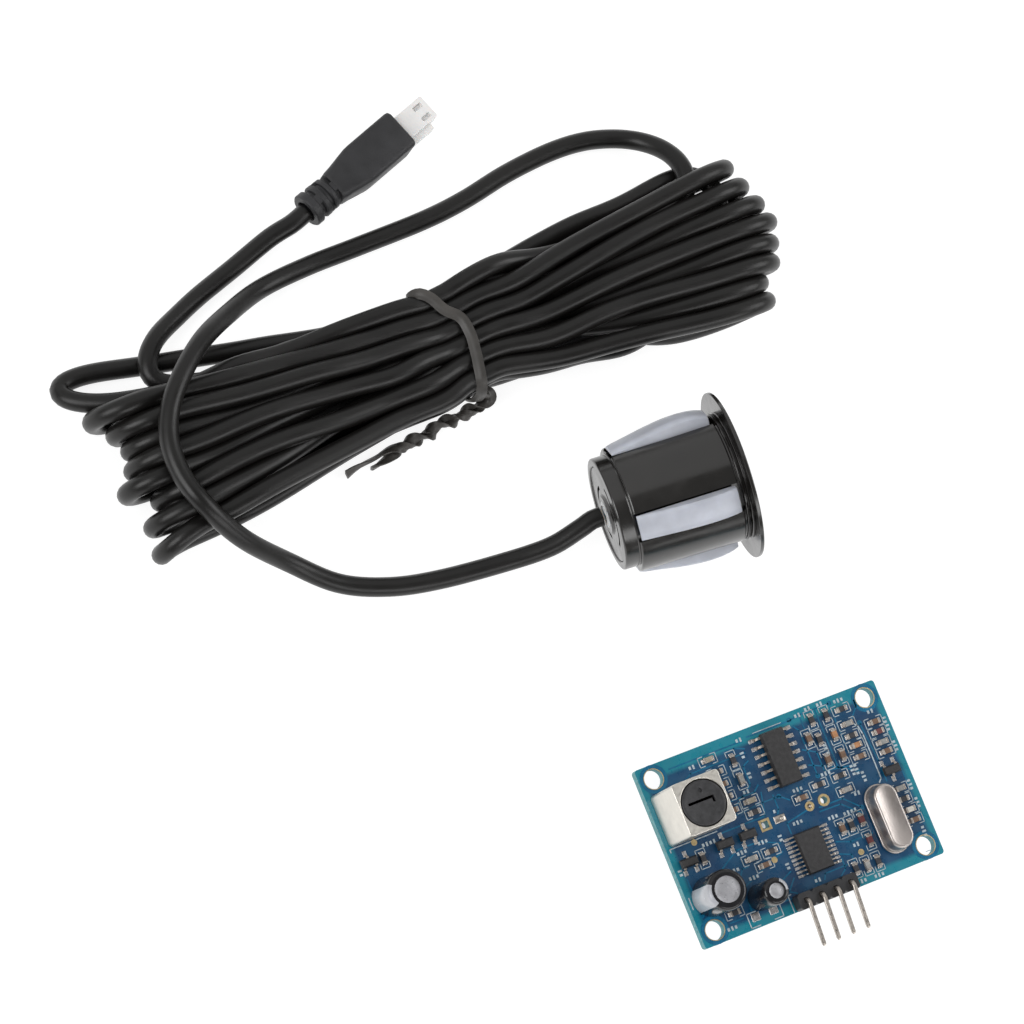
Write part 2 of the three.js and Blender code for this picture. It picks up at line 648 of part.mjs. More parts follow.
// The socket for the plug hangs under the board, mouth down, and the board rests on its rim.
function buildSocket(board) {
  const [x, y] = [0.6, -0.2];
  const height = BOARD.underside - GAP;
  const shell = cut(block(7.6, 6.4, height, x, y, -BOARD.underside), [
    block(5.4, 4.6, height - 1.1, x, y, -BOARD.underside - 0.1),
    block(2.4, 2.0, height - 1.1, x, y + 3.0, -BOARD.underside - 0.1),
  ]);
  const pinHoles = [-1, 1].map((side) => block(0.7, 0.7, 3, x + (side * CONTACT.pitch) / 2, y, -1.8));
  add(board, 'socket_housing', cut(shell, pinHoles), FINISH.nylon);
  [-1, 1].forEach((side, k) => {
    const post = block(0.45, 0.45, 3.5, x + (side * CONTACT.pitch) / 2, y, -BOARD.underside + 1.3);
    add(board, `socket_pin_${k + 1}`, post, FINISH.tinned);
  });
}

function buildBoard() {
  const board = new THREE.Group();
  add(board, 'circuit_board', circuitBoard(), FINISH.boardBlue);
  add(board, 'header_block', headerBlock(), FINISH.mattBlack);
  for (let k = 0; k < PIN.count; k += 1) {
    add(board, `header_pin_${k + 1}`, headerPin(pinX(k)), FINISH.tinned);
  }
  buildTransformer(board);
  buildCrystal(board);
  buildElectrolytic(board, 'large_capacitor', -16.8, -7.25, 3.1, 7.8);
  buildElectrolytic(board, 'small_capacitor', -9.7, -10.1, 2.05, 7.6);
  buildChips(board);
  buildPassives(board);
  buildSocket(board);
  board.position.set(...BOARD.centre, BOARD.underside);
  return board;
}

const sensor = new THREE.Group();
sensor.add(buildProbe(), buildLead(), buildBoard());

export default sensor;
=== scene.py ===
"""Looks for the waterproof ultrasonic distance sensor: probe, tied lead with its plug, and driver board.

Sizes are in millimetres unless a name says otherwise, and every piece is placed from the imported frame.
"""

import json
import math

import bmesh
import bpy
import numpy as np
from mathutils import Matrix, Vector


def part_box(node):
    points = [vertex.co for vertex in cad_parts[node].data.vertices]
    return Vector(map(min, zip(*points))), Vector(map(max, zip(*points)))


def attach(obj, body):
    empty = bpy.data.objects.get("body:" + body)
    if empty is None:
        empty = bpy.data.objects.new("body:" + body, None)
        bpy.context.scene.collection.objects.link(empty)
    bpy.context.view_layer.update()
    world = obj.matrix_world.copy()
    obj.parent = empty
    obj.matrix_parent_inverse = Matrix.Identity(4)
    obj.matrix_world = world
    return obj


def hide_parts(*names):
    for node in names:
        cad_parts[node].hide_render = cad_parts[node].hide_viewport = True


MM = 0.001
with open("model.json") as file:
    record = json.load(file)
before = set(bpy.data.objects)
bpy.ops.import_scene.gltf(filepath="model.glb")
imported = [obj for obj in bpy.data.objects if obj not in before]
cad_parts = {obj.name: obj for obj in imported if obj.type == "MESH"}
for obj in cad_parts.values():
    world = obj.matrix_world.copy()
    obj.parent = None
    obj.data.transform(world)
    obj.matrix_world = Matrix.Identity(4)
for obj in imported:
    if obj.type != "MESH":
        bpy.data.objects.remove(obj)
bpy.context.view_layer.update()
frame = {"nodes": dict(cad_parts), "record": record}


# ---------- frames ----------
def mounts():
    return {m["name"]: m for m in frame["record"]["mounts"]}


def frame_of(origin, x_axis, y_axis, z_axis):
    """A matrix that takes millimetres in a local frame to metres in the row frame."""
    turn = Matrix((x_axis, y_axis, z_axis)).transposed().to_4x4()
    return Matrix.Translation(origin) @ turn @ Matrix.Scale(MM, 4)


def probe_frame():
    """Origin at the middle of the probe's rear face, +Z forward along its axis."""
    face = mounts()["sensing_face"]
    ahead = Vector(face["axis"]).normalized()
    side = Vector((0, 0, 1)).cross(ahead).normalized()
    down = side.cross(ahead)
    return frame_of(Vector(face["pos_m"]) - ahead * PROBE_FACE * MM, down, side, ahead)


def board_frame():
    """Origin at the middle of the board's top face."""
    low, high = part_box("circuit_board")
    middle = (low + high) / 2
    origin = Vector((middle.x, middle.y, high.z))
    return frame_of(origin, (1, 0, 0), (0, 1, 0), (0, 0, 1))


def turned_frame(x, y, z, degrees):
    """A level frame at a point given in millimetres, with its X axis turned."""
    c, s = math.cos(math.radians(degrees)), math.sin(math.radians(degrees))
    return frame_of(Vector((x, y, z)) * MM, (c, s, 0), (-s, c, 0), (0, 0, 1))


PROBE_FACE = 20.4  # distance of the sensing face from the rear face
ROW = Matrix.Scale(MM, 4)  # plain millimetres in the row frame
PROBE = probe_frame()
BOARD = board_frame()
PLUG = turned_frame(-16.0, 97.3, 3.25, 21.6)
TIE = turned_frame(-21.0, 63.3, 0.0, 8.0)


# ---------- camera ----------
def make_camera():
    camera = bpy.data.objects.new("camera", bpy.data.cameras.new("camera"))
    bpy.context.scene.collection.objects.link(camera)
    right = Vector((0.891226, -0.372232, 0.259152))
    up = Vector((0.317122, 0.919897, 0.230702))
    back = right.cross(up)
    turn = Matrix((right, up, back)).transposed().to_4x4()
    camera.matrix_world = Matrix.Translation((-0.208705, -0.034987, 0.543277)) @ turn
    camera.data.sensor_width = 36.0
    camera.data.lens = 134.0
    camera.data.clip_start = 0.01
    bpy.context.scene.camera = camera


# ---------- materials ----------
class Shader:
    """One procedural material on Principled BSDF, its patterns measured in millimetres."""

    def __init__(self, name, colour, roughness, metallic=0.0, **sockets):
        self.material = bpy.data.materials.new(name)
        self.material.use_nodes = True
        self.nodes = self.material.node_tree.nodes
        self.links = self.material.node_tree.links
        self.bsdf = self.nodes["Principled BSDF"]
        self.colour = colour
        self.set("Base Color", (*colour, 1))
        self.set("Roughness", roughness)
        self.set("Metallic", metallic)
        for socket, value in sockets.items():
            self.set(socket.replace("_", " "), value)
        place = self.node("TexCoord").outputs["Object"]
        self.place = self.node("Mapping", Scale=(1 / MM,) * 3, Vector=place).outputs["Vector"]

    def set(self, socket, value):
        self.bsdf.inputs[socket].default_value = value

    def node(self, kind, **inputs):
        """A new node, each named input set to a value or joined to another node's output."""
        node = self.nodes.new("ShaderNode" + kind)
        for name, value in inputs.items():
            self.feed(node.inputs[name.replace("_", " ")], value)
        return node

    def feed(self, socket, value):
        if isinstance(value, bpy.types.NodeSocket):
            self.links.new(value, socket)
        else:
            socket.default_value = value

    def stretched(self, x, y, z):
        return self.node("Mapping", Scale=(x, y, z), Vector=self.place).outputs["Vector"]

    def noise(self, size, detail=4.0, place=None):
        """Noise with features about size millimetres across."""
        node = self.node("TexNoise", Scale=1.0 / size, Detail=detail, Vector=place or self.place)
        return node.outputs["Fac"]

    def ramp(self, value, low, high, first, last):
        """Maps value from low..high to a colour or grey ramp."""
        node = self.node("ValToRGB", Fac=value)
        for end, position, colour in zip(node.color_ramp.elements, (low, high), (first, last)):
            end.position = position
            end.color = (*colour, 1)
        return node.outputs["Color"]

    def mix(self, factor, first, second):
        node = self.node("Mix")
        node.data_type = "RGBA"
        self.feed(node.inputs[0], factor)
        for socket, value in ((node.inputs[6], first), (node.inputs[7], second)):
            self.feed(socket, (*value, 1) if isinstance(value, tuple) else value)
        return node.outputs[2]

    def link(self, value, socket):
        self.links.new(value, self.bsdf.inputs[socket])
        return self

    def range(self, value, socket, low, high):
        """Drives a number socket from a 0..1 pattern."""
        node = self.node("MapRange", From_Min=0.3, From_Max=0.7, To_Min=low, To_Max=high, Value=value)
        return self.link(node.outputs["Result"], socket)

    def bump(self, value, depth, previous=None):
        """Raises the surface by value times depth millimetres."""
        node = self.node("Bump", Strength=1.0, Distance=depth * MM, Height=value)
        if previous:
            self.feed(node.inputs["Normal"], previous)
        self.link(node.outputs["Normal"], "Normal")
        return node.outputs["Normal"]

    def mottle(self, size, amount, detail=3.0):
        """Lets the base colour drift lighter and darker by amount."""
        dark = tuple(c * (1 - amount) for c in self.colour)
        light = tuple(min(1.0, c * (1 + amount)) for c in self.colour)
        shade = self.ramp(self.noise(size, detail), 0.3, 0.7, dark, light)
        self.link(shade, "Base Color")
        return shade


def moulded_gloss():
    s = Shader("gloss black moulding", (0.008, 0.0069, 0.0058), 0.2, Specular_IOR_Level=0.9)
    s.mottle(6, 0.25)
    s.range(s.noise(3.0, 6), "Roughness", 0.15, 0.26)
    waves = s.bump(s.noise(7.0, 1), 0.05)
    s.bump(s.noise(0.25, 4), 0.0025, waves)
    return s.material


def moulded_satin(name, roughness, grain, depth, colour=(0.022, 0.022, 0.024)):
    s = Shader(name, colour, roughness)
    s.mottle(4, 0.3)
    s.range(s.noise(2.0, 5), "Roughness", roughness - 0.07, roughness + 0.08)
    s.bump(s.noise(grain, 3), depth)
    return s.material


def cord_jacket():
    s = Shader("cord jacket", (0.0068, 0.0063, 0.0058), 0.36, Specular_IOR_Level=0.4)
    s.mottle(9, 0.3)
    s.range(s.noise(4.0, 6), "Roughness", 0.31, 0.41)
    drift = s.bump(s.noise(1.6, 3), 0.016)
    s.bump(s.noise(0.16, 2), 0.003, drift)
    return s.material


def milky_plastic():
    s = Shader("milky strip plastic", (0.5, 0.52, 0.58), 0.36, Subsurface_Weight=0.4)
    s.set("Subsurface Radius", (1.0, 1.1, 1.3))
    s.set("Subsurface Scale", 0.0009)
    cloud = s.mottle(3.5, 0.1)
    grain = s.stretched(0.25, 1, 1)
    s.range(s.noise(1.2, 4, grain), "Roughness", 0.27, 0.42)
    s.bump(s.noise(1.8, 3), 0.02)
    s.link(cloud, "Base Color")
    return s.material


def nylon():
    s = Shader("white nylon", (0.82, 0.81, 0.8), 0.42, Subsurface_Weight=0.35)
    s.set("Subsurface Radius", (1.2, 1.0, 0.9))
    s.set("Subsurface Scale", 0.0008)
    s.mottle(2.5, 0.05)
    s.bump(s.noise(0.5, 3), 0.006)
    return s.material


def brushed_metal(name, colour, roughness, grain=(1, 6, 1), depth=0.004, amount=0.12):
    s = Shader(name, colour, roughness, 1.0)
    s.mottle(1.6, amount, 5)
    lines = s.noise(0.5, 5, s.stretched(*grain))
    s.range(lines, "Roughness", roughness - 0.08, roughness + 0.1)
    s.bump(lines, depth)
    return s.material


def solder():
    s = Shader("solder", (0.62, 0.61, 0.61), 0.26, 1.0)
    s.mottle(0.8, 0.1, 3)
    s.range(s.noise(0.5, 4), "Roughness", 0.18, 0.36)
    s.bump(s.noise(0.6, 2), 0.012)
    return s.material


def gold():
    s = Shader("plated pad", (0.8, 0.62, 0.33), 0.3, 1.0)
    s.mottle(0.7, 0.15)
    s.bump(s.noise(0.3, 3), 0.01)
    return s.material


def plain(name, colour, roughness, size=1.0, amount=0.15, depth=0.01, **sockets):
    """A dull moulded, fired or cast surface with a drifting colour and a fine grain."""
    s = Shader(name, colour, roughness, **sockets)
    s.mottle(size, amount, 4)
    s.range(s.noise(size * 0.6, 4), "Roughness", max(0.05, roughness - 0.08), roughness + 0.08)
    s.bump(s.noise(size * 0.25, 3), depth)
    return s.material


def board_mask():
    """Blue solder mask: deep over the copper pour, teal where the bare laminate shows at the rim."""
    s = Shader("board solder mask", (0.003, 0.075, 0.17), 0.3, Coat_Weight=0.35)
    s.set("Coat Roughness", 0.12)
    low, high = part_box("circuit_board")
    weave = s.ramp(s.noise(5.0, 5), 0.35, 0.65, (0.002, 0.042, 0.115), (0.003, 0.07, 0.16))
    rim = (0.004, 0.2, 0.27)
    inside = None
    split = s.node("SeparateXYZ", Vector=s.place)
    soft = 0.35  # half width of the blend between rim and pour
    for axis, near, far in ((0, 1.1, 1.1), (1, 1.5, 2.2)):
        for edge, sign in ((low[axis] / MM + near, 1), (high[axis] / MM - far, -1)):
            node = s.node("MapRange", Value=split.outputs[axis])
            node.inputs["From Min"].default_value = edge - soft * sign
            node.inputs["From Max"].default_value = edge + soft * sign
            here = node.outputs["Result"]
            if inside is not None:
                least = s.node("Math")
                least.operation = "MINIMUM"
                s.feed(least.inputs[0], inside)
                s.feed(least.inputs[1], here)
                here = least.outputs["Value"]
            inside = here
    s.link(s.mix(inside, rim, weave), "Base Color")
    s.range(s.noise(1.2, 4), "Roughness", 0.22, 0.4)
    s.bump(s.noise(0.7, 4), 0.012)
    return s.material


MATERIALS = {
    "probe_black": moulded_gloss(),
    "cord_jacket": cord_jacket(),
    "milky_strip": milky_plastic(),
    "nylon": nylon(),
    "plug_moulding": moulded_satin("plug moulding", 0.52, 0.2, 0.02),
    "tie_plastic": moulded_satin("tie coating", 0.45, 0.3, 0.015, (0.05, 0.046, 0.042)),
    "header_plastic": moulded_satin("header plastic", 0.45, 0.15, 0.01),
    "chip_epoxy": plain("chip epoxy", (0.026, 0.025, 0.026), 0.55, 0.6, 0.3, 0.02),
    "capacitor_sleeve": plain("capacitor sleeve", (0.012, 0.012, 0.014), 0.16, 2.0, 0.3, 0.02),
    "sleeve_stripe": plain("sleeve stripe", (0.42, 0.43, 0.46), 0.2, 1.5, 0.1, 0.01),
    "capacitor_aluminium": brushed_metal("capacitor aluminium", (0.6, 0.6, 0.63), 0.34),
    "can_metal": brushed_metal("plated can", (0.72, 0.69, 0.63), 0.38, (1, 1, 5), 0.002, 0.06),
    "crystal_metal": brushed_metal("crystal can", (0.5, 0.455, 0.43), 0.36, (5, 1, 1), 0.0012, 0.05),
    "cup_metal": brushed_metal("transducer cup", (0.72, 0.72, 0.74), 0.28, (2, 2, 2)),
    "tinned_metal": brushed_metal("tinned pin", (0.5, 0.455, 0.41), 0.32, (1, 1, 1), 0.002, 0.08),
    "solder": solder(),
    "gold_plate": gold(),
    "ferrite": plain("ferrite core", (0.028, 0.028, 0.03), 0.5, 0.9, 0.35, 0.025),
    "copper": brushed_metal("enamelled winding", (0.6, 0.25, 0.1), 0.3, (1, 1, 8), 0.02),
    "board_print": plain("board print", (0.42, 0.49, 0.53), 0.5, 0.5, 0.25, 0.004),
    "board_blue": board_mask(),
    "board_trace": plain("masked trace", (0.004, 0.125, 0.24), 0.28, 2.0, 0.2, 0.006),
    "board_core": plain("laminate edge", (0.1, 0.28, 0.3), 0.6, 0.5, 0.3, 0.02),
    "sealant": plain("sealant", (0.62, 0.61, 0.6), 0.3, 1.2, 0.15, 0.06, Subsurface_Weight=0.2),
    "isolation_rubber": plain("isolation rubber", (0.03, 0.03, 0.03), 0.65, 0.8, 0.3, 0.03),
    "piezo_ceramic": plain("piezo ceramic", (0.75, 0.7, 0.56), 0.5, 0.6, 0.08, 0.01),
    "foam": plain("damper foam", (0.16, 0.16, 0.16), 0.9, 0.5, 0.5, 0.2),
    "potting": plain("potting compound", (0.5, 0.52, 0.55), 0.45, 1.5, 0.1, 0.03),
    "wire_red": plain("red core wire", (0.45, 0.03, 0.02), 0.45, 1.0, 0.1, 0.01),
    "wire_white": plain("white screen wire", (0.7, 0.68, 0.6), 0.45, 1.0, 0.08, 0.01),
    "quartz": plain("quartz blank", (0.75, 0.78, 0.8), 0.12, 1.0, 0.05, 0.002, Transmission_Weight=0.8),
}


# ---------- mesh helpers ----------
BOX_FACES = [(3, 2, 1, 0), (4, 5, 6, 7), (0, 1, 5, 4), (1, 2, 6, 5), (2, 3, 7, 6), (3, 0, 4, 7)]
SQUARE = ((-1, -1), (1, -1), (1, 1), (-1, 1))


class Builder:
    """Collects simple solids in a local frame, in millimetres, and makes one object of them."""

    def __init__(self, place=ROW):
        self.place = place
        self.points, self.faces, self.slots = [], [], []

    def add(self, points, faces, slot=0):
        start = len(self.points)
        self.points += [tuple(p) for p in points]
        self.faces += [[start + i for i in face] for face in faces]
        self.slots += [slot] * len(faces)
        return self

    def box(self, centre, size, slot=0, turn=0.0, lean=0.0):
        """A block whose top is smaller by lean on each side."""
        c, s = math.cos(math.radians(turn)), math.sin(math.radians(turn))
        points = []
        for z in (-1, 1):
            shrink = lean if z > 0 else 0.0
            for x, y in SQUARE:
                u = x * (size[0] / 2 - shrink)
                v = y * (size[1] / 2 - shrink)
                height = centre[2] + z * size[2] / 2
                points.append((centre[0] + c * u - s * v, centre[1] + s * u + c * v, height))
        return self.add(points, BOX_FACES, slot)

    def loft(self, rings, slot=0, closed=False):
        """Skins a row of equal rings, with flat ends unless the last ring meets the first."""
        m, count = len(rings[0]), len(rings)
        faces = []
        for i in range(count if closed else count - 1):
            here, there = i * m, (i + 1) % count * m
            faces += [(here + k, here + (k + 1) % m, there + (k + 1) % m, there + k) for k in range(m)]
        if not closed:
            faces += [tuple(range(m - 1, -1, -1)), tuple(range((count - 1) * m, count * m))]
        return self.add([p for ring in rings for p in ring], faces, slot)

    def prism(self, outline, low, high, slot=0):
        n = len(outline)
        points = [(x, y, low) for x, y in outline] + [(x, y, high) for x, y in outline]
        sides = [(i, (i + 1) % n, n + (i + 1) % n, n + i) for i in range(n)]
        return self.add(points, [tuple(range(n - 1, -1, -1)), tuple(range(n, 2 * n))] + sides, slot)

    def lathe(self, profile, sides=96, slot=0, centre=(0, 0)):
        """Turns an anticlockwise closed profile of (radius, height) points about Z."""
        rings = []
        for k in range(sides):
            a = 2 * math.pi * k / sides
            rings.append([(centre[0] + r * math.cos(a), centre[1] + r * math.sin(a), z) for r, z in profile])
        return self.loft(rings, slot, True)

    def sweep(self, path, section, slot=0, roll=None, closed=False):
        """Carries a closed section of (u, v) points along a path without spinning it."""
        line = np.array(path, float)
        rings = []
        for i, (p, (u, v)) in enumerate(zip(line, carried_frames(line, closed))):
            a = roll(i / (len(line) - 1)) if roll else 0.0
            c, s = math.cos(a), math.sin(a)
            rings.append([p + u * (x * c - y * s) + v * (x * s + y * c) for x, y in section])
        return self.loft(rings, slot, closed)

    def make(self, name, materials, bevel=0.0, steps=2, smooth=35, body="root", replaces=(), cutters=(),
             paint=None):
        """Makes the piece, less the cutters; paint picks a material for each of its faces."""
        mesh = bpy.data.meshes.new(name)
        mesh.from_pydata([self.place @ Vector(p) for p in self.points], [], self.faces)
        mesh.polygons.foreach_set("material_index", self.slots)
        mesh.update()
        tidy = bmesh.new()
        tidy.from_mesh(mesh)
        bmesh.ops.remove_doubles(tidy, verts=tidy.verts, dist=2e-7)
        bmesh.ops.dissolve_degenerate(tidy, edges=tidy.edges, dist=1e-7)
        bmesh.ops.recalc_face_normals(tidy, faces=tidy.faces)
        tidy.to_mesh(mesh)
        tidy.free()
        piece = bpy.data.objects.new(name, mesh)
        bpy.context.scene.collection.objects.link(piece)
        for m in materials:
            mesh.materials.append(MATERIALS[m])
        carve(piece, [c.make(f"{name}_cut_{k}", materials[-1:], body=None) for k, c in enumerate(cutters)])
        if paint:
            for face in piece.data.polygons:
                face.material_index = paint(face)
        finish_surface(piece, bevel, steps, smooth)
        if body:
            join_frame(piece, body, replaces)
        return piece


def finish_surface(piece, bevel, steps=2, smooth=35):
    """Smooth shading with hard edges kept, and small rounded edges where asked."""
    piece.data.shade_smooth()
    piece.data.set_sharp_from_angle(angle=math.radians(smooth))
    if bevel:
        edge = piece.modifiers.new("edges", "BEVEL")
        edge.width = bevel * MM
        edge.segments = steps
        edge.limit_method = "ANGLE"
        edge.angle_limit = math.radians(smooth)
        edge.harden_normals = True


def join_frame(piece, body="root", replaces=()):
    if replaces:
        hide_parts(*replaces)
    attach(piece, body)


def carve(piece, cutters):
    """Cuts the cutters out of the piece and removes them."""
    if not cutters:
        return
    for cutter in cutters:
        step = piece.modifiers.new("cut", "BOOLEAN")
        step.operation = "DIFFERENCE"
        step.solver = "EXACT"
        step.object = cutter
    seen = bpy.context.evaluated_depsgraph_get()
    bpy.context.view_layer.update()
    piece.data = bpy.data.meshes.new_from_object(piece.evaluated_get(seen))
    piece.modifiers.clear()
    for cutter in cutters:
        bpy.data.objects.remove(cutter)


def carried_frames(line, closed=False):
    """Two directions across a path at each of its points, turning as little as they can."""
    n = len(line)
    if closed:
        along = np.roll(line, -1, 0) - np.roll(line, 1, 0)
    else:
        along = np.gradient(line, axis=0)
    along /= np.linalg.norm(along, axis=1)[:, None]
    guide = np.array((0.0, 0.0, 1.0)) if abs(along[0][2]) < 0.9 else np.array((1.0, 0.0, 0.0))
    u = np.cross(guide, along[0])
    frames = []
    for i in range(n):
        u = u - along[i] * (u @ along[i])
        u /= np.linalg.norm(u)
        frames.append((u.copy(), np.cross(along[i], u)))
    return frames


def smooth_line(points, step=1.5):
    """A rounded line through given points, cut into even steps."""
    p = np.array(points, float)
    p = np.vstack([2 * p[0] - p[1], p, 2 * p[-1] - p[-2]])
    fine = []
    for i in range(1, len(p) - 2):
        a, b, c, d = p[i - 1], p[i], p[i + 1], p[i + 2]
        for t in np.linspace(0, 1, 24, endpoint=False):
            fine.append(0.5 * (2 * b + (c - a) * t + (2 * a - 5 * b + 4 * c - d) * t * t
                               + (3 * b - a - 3 * c + d) * t ** 3))
    fine.append(p[-2])
    return even_steps(np.array(fine), step)


def even_steps(line, step):
    ran = np.concatenate([[0], np.cumsum(np.linalg.norm(np.diff(line, axis=0), axis=1))])
    marks = np.linspace(0, ran[-1], max(2, int(round(ran[-1] / step)) + 1))
    return np.stack([np.interp(marks, ran, line[:, k]) for k in range(3)], 1)


def rounded_rectangle(width, depth, radius, steps=4, x=0.0, y=0.0):
    corners = ((1, 1, 0), (-1, 1, 90), (-1, -1, 180), (1, -1, 270))
    outline = []
    for sx, sy, first in corners:
        for k in range(steps + 1):
            a = math.radians(first + 90 * k / steps)
            outline.append((
                x + sx * (width / 2 - radius) + radius * math.cos(a),
                y + sy * (depth / 2 - radius) + radius * math.sin(a),
            ))
    return outline


# ---------- the cord ----------
CORD_DIAMETER = 3.0
# The route is the same as the CAD model's, in metres.
LEAD_ROUTE = [
    (-0.0152, 0.0295, 0.0077), (-0.0195, 0.0288, 0.0060), (-0.0262, 0.0292, 0.0038),
    (-0.0363, 0.0303, 0.0020), (-0.0440, 0.0319, 0.00165), (-0.0511, 0.0349, 0.0020),
    (-0.0576, 0.0399, 0.0044), (-0.0645, 0.0447, 0.0104), (-0.0689, 0.0503, 0.0144),
    (-0.0707, 0.0560, 0.0147), (-0.0705, 0.0614, 0.0147), (-0.0685, 0.0659, 0.0147),
    (-0.0650, 0.0700, 0.0146), (-0.0597, 0.0743, 0.0122), (-0.0531, 0.0778, 0.0076),
    (-0.0457, 0.0808, 0.0033), (-0.0372, 0.0822, 0.0017), (-0.0288, 0.0827, 0.00155),
    (-0.0172, 0.0834, 0.00155), (-0.0096, 0.0845, 0.00155), (-0.0015, 0.0864, 0.00155),
    (0.0063, 0.0875, 0.00155), (0.0122, 0.0875, 0.00155), (0.0172, 0.0864, 0.0017),
    (0.0208, 0.0844, 0.0028), (0.0226, 0.0819, 0.0046),
]
TAIL_ROUTE = [
    (-0.0630, 0.0792, 0.0032), (-0.0602, 0.0805, 0.0024), (-0.0550, 0.0829, 0.0017),
    (-0.0482, 0.0854, 0.0019), (-0.0414, 0.0879, 0.0027),
]
# Where the folds of the hank come to: (X, Y) of each fold's outer tip.
LEFT_TIPS = [
    (-82.0, 76.6), (-79.9, 69.2), (-77.3, 66.0), (-76.3, 63.0), (-76.7, 60.4),
    (-79.0, 56.8), (-74.7, 54.5), (-77.1, 50.9), (-77.4, 46.3),
]
LEFT_SWING = [0, -2.3, -1.0, -0.3, 0.2, 0.9, 0.5, 0.8, 2.2]  # how far each left fold hangs to the near side
RIGHT_TIPS = [
    (30.2, 74.9), (31.8, 74.6), (33.2, 71.2), (34.6, 67.8), (35.4, 64.6),
    (34.3, 61.3), (33.2, 58.5), (30.1, 55.8), (30.0, 52.9),
]
HANK_TOP, HANK_FLOOR = 11.2, 1.55
TIE_ROWS = {"top": 8.0, "middle": 5.4, "bottom": 2.85}  # heights of the layers under the tie
TIE_REACH, TIE_LOW, TIE_HIGH = 6.9, 2.8, 8.1  # the room for centrelines inside the tie
UPPER_AT_TIE = [
    ("bottom", 6.6), ("top", 3.7), ("top", 0.9), ("middle", 2.5), ("top", -1.9),
    ("middle", 0.2), ("top", -4.6), ("middle", -2.1), ("top", -7.0),
]
LOWER_AT_TIE = [
    ("top", 6.2), ("middle", 6.6), ("middle", 4.6), ("bottom", 4.2), ("bottom", 1.4),
    ("bottom", -1.4), ("bottom", -4.2), ("bottom", -7.0), ("middle", -6.7), ("middle", -4.4),
]


def at_tie(slot):
    row, across = slot
    point = TIE @ Vector((0, across, 0)) / MM
    return np.array((point.x, point.y, TIE_ROWS[row]))


def strand(start, slot, end, bow):
    """One run of the hank from fold to tie to fold, bowed a little sideways on each half."""
    middle = at_tie(slot)
    start, end = np.array(start, float), np.array(end, float)
    points = []
    for a, b, side in ((start, middle, bow), (middle, end, -bow)):
        for t in (0.0, 0.12, 0.3, 0.5, 0.7, 0.88):
            rise = t * t * (3 - 2 * t)
            p = a + (b - a) * t
            p[2] = a[2] + (b[2] - a[2]) * (0.35 * t + 0.65 * rise)
            p[1] += side * math.sin(math.pi * t)
            points.append(p)
    points.append(end)
    return points


def fold(tip, lower, upper, side, up, swing=0.0):
    """The half turn at an end of the hank; side is -1 at the left end, and up says which way it climbs."""
    radius = (HANK_TOP - HANK_FLOOR) / 2
    centre_x = tip[0] - side * (radius + CORD_DIAMETER / 2)
    points = []
    for k in range(1, 8):
        a = math.pi * k / 8
        height = (HANK_TOP + HANK_FLOOR) / 2 - radius * math.cos(a)
        y = lower + (upper - lower) * k / 8 - swing * math.sin(a)
        points.append(np.array((centre_x + side * radius * math.sin(a), y, height)))
    return points if up else points[::-1]


def hank_route():
    """The nine and a half turns: out along the bottom, up at the left end, back along the top."""
    route = first_turn()
    turns = len(LEFT_TIPS)
    reach = (HANK_TOP - HANK_FLOOR) / 2 + CORD_DIAMETER / 2
    here = route.pop()
    for k in range(1, turns):
        bow = 0.25 * math.sin(2.3 * k)
        left, right, swing = LEFT_TIPS[k], RIGHT_TIPS[k], LEFT_SWING[k]
        near_y, inner = left[1] + swing, left[0] + reach
        last = k == turns - 1
        below, above = near_y + (0.9 if last else 0.4), near_y + 0.1  # the lower and upper run on the left
        route += strand(here, LOWER_AT_TIE[k], np.array((inner, below, HANK_FLOOR)), bow)
        route += fold(left, below, above, -1, True, swing)
        start = np.array((inner, above, HANK_TOP))
        below, above = right[1] + (2.2 if last else 1.0), right[1] - 0.2  # and on the right
        inner = right[0] - reach
        route += strand(start, UPPER_AT_TIE[k], np.array((inner, above, HANK_TOP)), -bow)
        route += fold(right, below, above, 1, False)
        here = np.array((inner, below, HANK_FLOOR))
    inside = np.array((-62.0, 70.2, 4.6))
    route += strand(here, LOWER_AT_TIE[-1], inside, 0.2)
    route += [np.array(p) for p in ((-66.4, 71.4, 3.6), (-67.6, 73.4, 3.4), (-66.2, 76.2, 3.6))]
    return route


def first_turn():
    """The lead dives between the folds, and the first turn lies low and flat on the far side."""
    points = [
        (23.8, 78.6, 6.3), (23.6, 75.6, 7.7), (22.4, 72.7, 7.4), (19.4, 71.2, 6.9), (13.0, 70.9, 6.6),
        (2.0, 70.7, 6.9), (-10.0, 70.3, 7.5), tuple(at_tie(LOWER_AT_TIE[0])), (-34.0, 69.5, 8.4),
        (-48.0, 69.1, 7.8), (-60.0, 69.1, 7.5), (-69.0, 69.9, 6.4), (-75.8, 71.7, 4.8), (-79.7, 73.7, 3.4),
        (-81.2, 75.9, 2.2), (-79.0, 77.2, 1.6), (-74.7, 76.8, 1.55), (-66.8, 75.6, 1.55), (-57.5, 74.1, 1.55),
        (-48.2, 72.5, 1.55), (-38.5, 71.0, 1.6), (-29.5, 70.1, 2.2), tuple(at_tie(UPPER_AT_TIE[0])),
        (-10.0, 71.2, 3.2), (4.0, 73.4, 4.0), (15.0, 75.6, 4.6),
    ]
    for degrees in (95, 60, 30, 0, -30, -60, -90):  # the fold at the right end
        a = math.radians(degrees)
        points.append((24.7 + 4.6 * math.cos(a), 72.4 + 4.6 * math.sin(a), 4.8))
    return [np.array(p) for p in points]


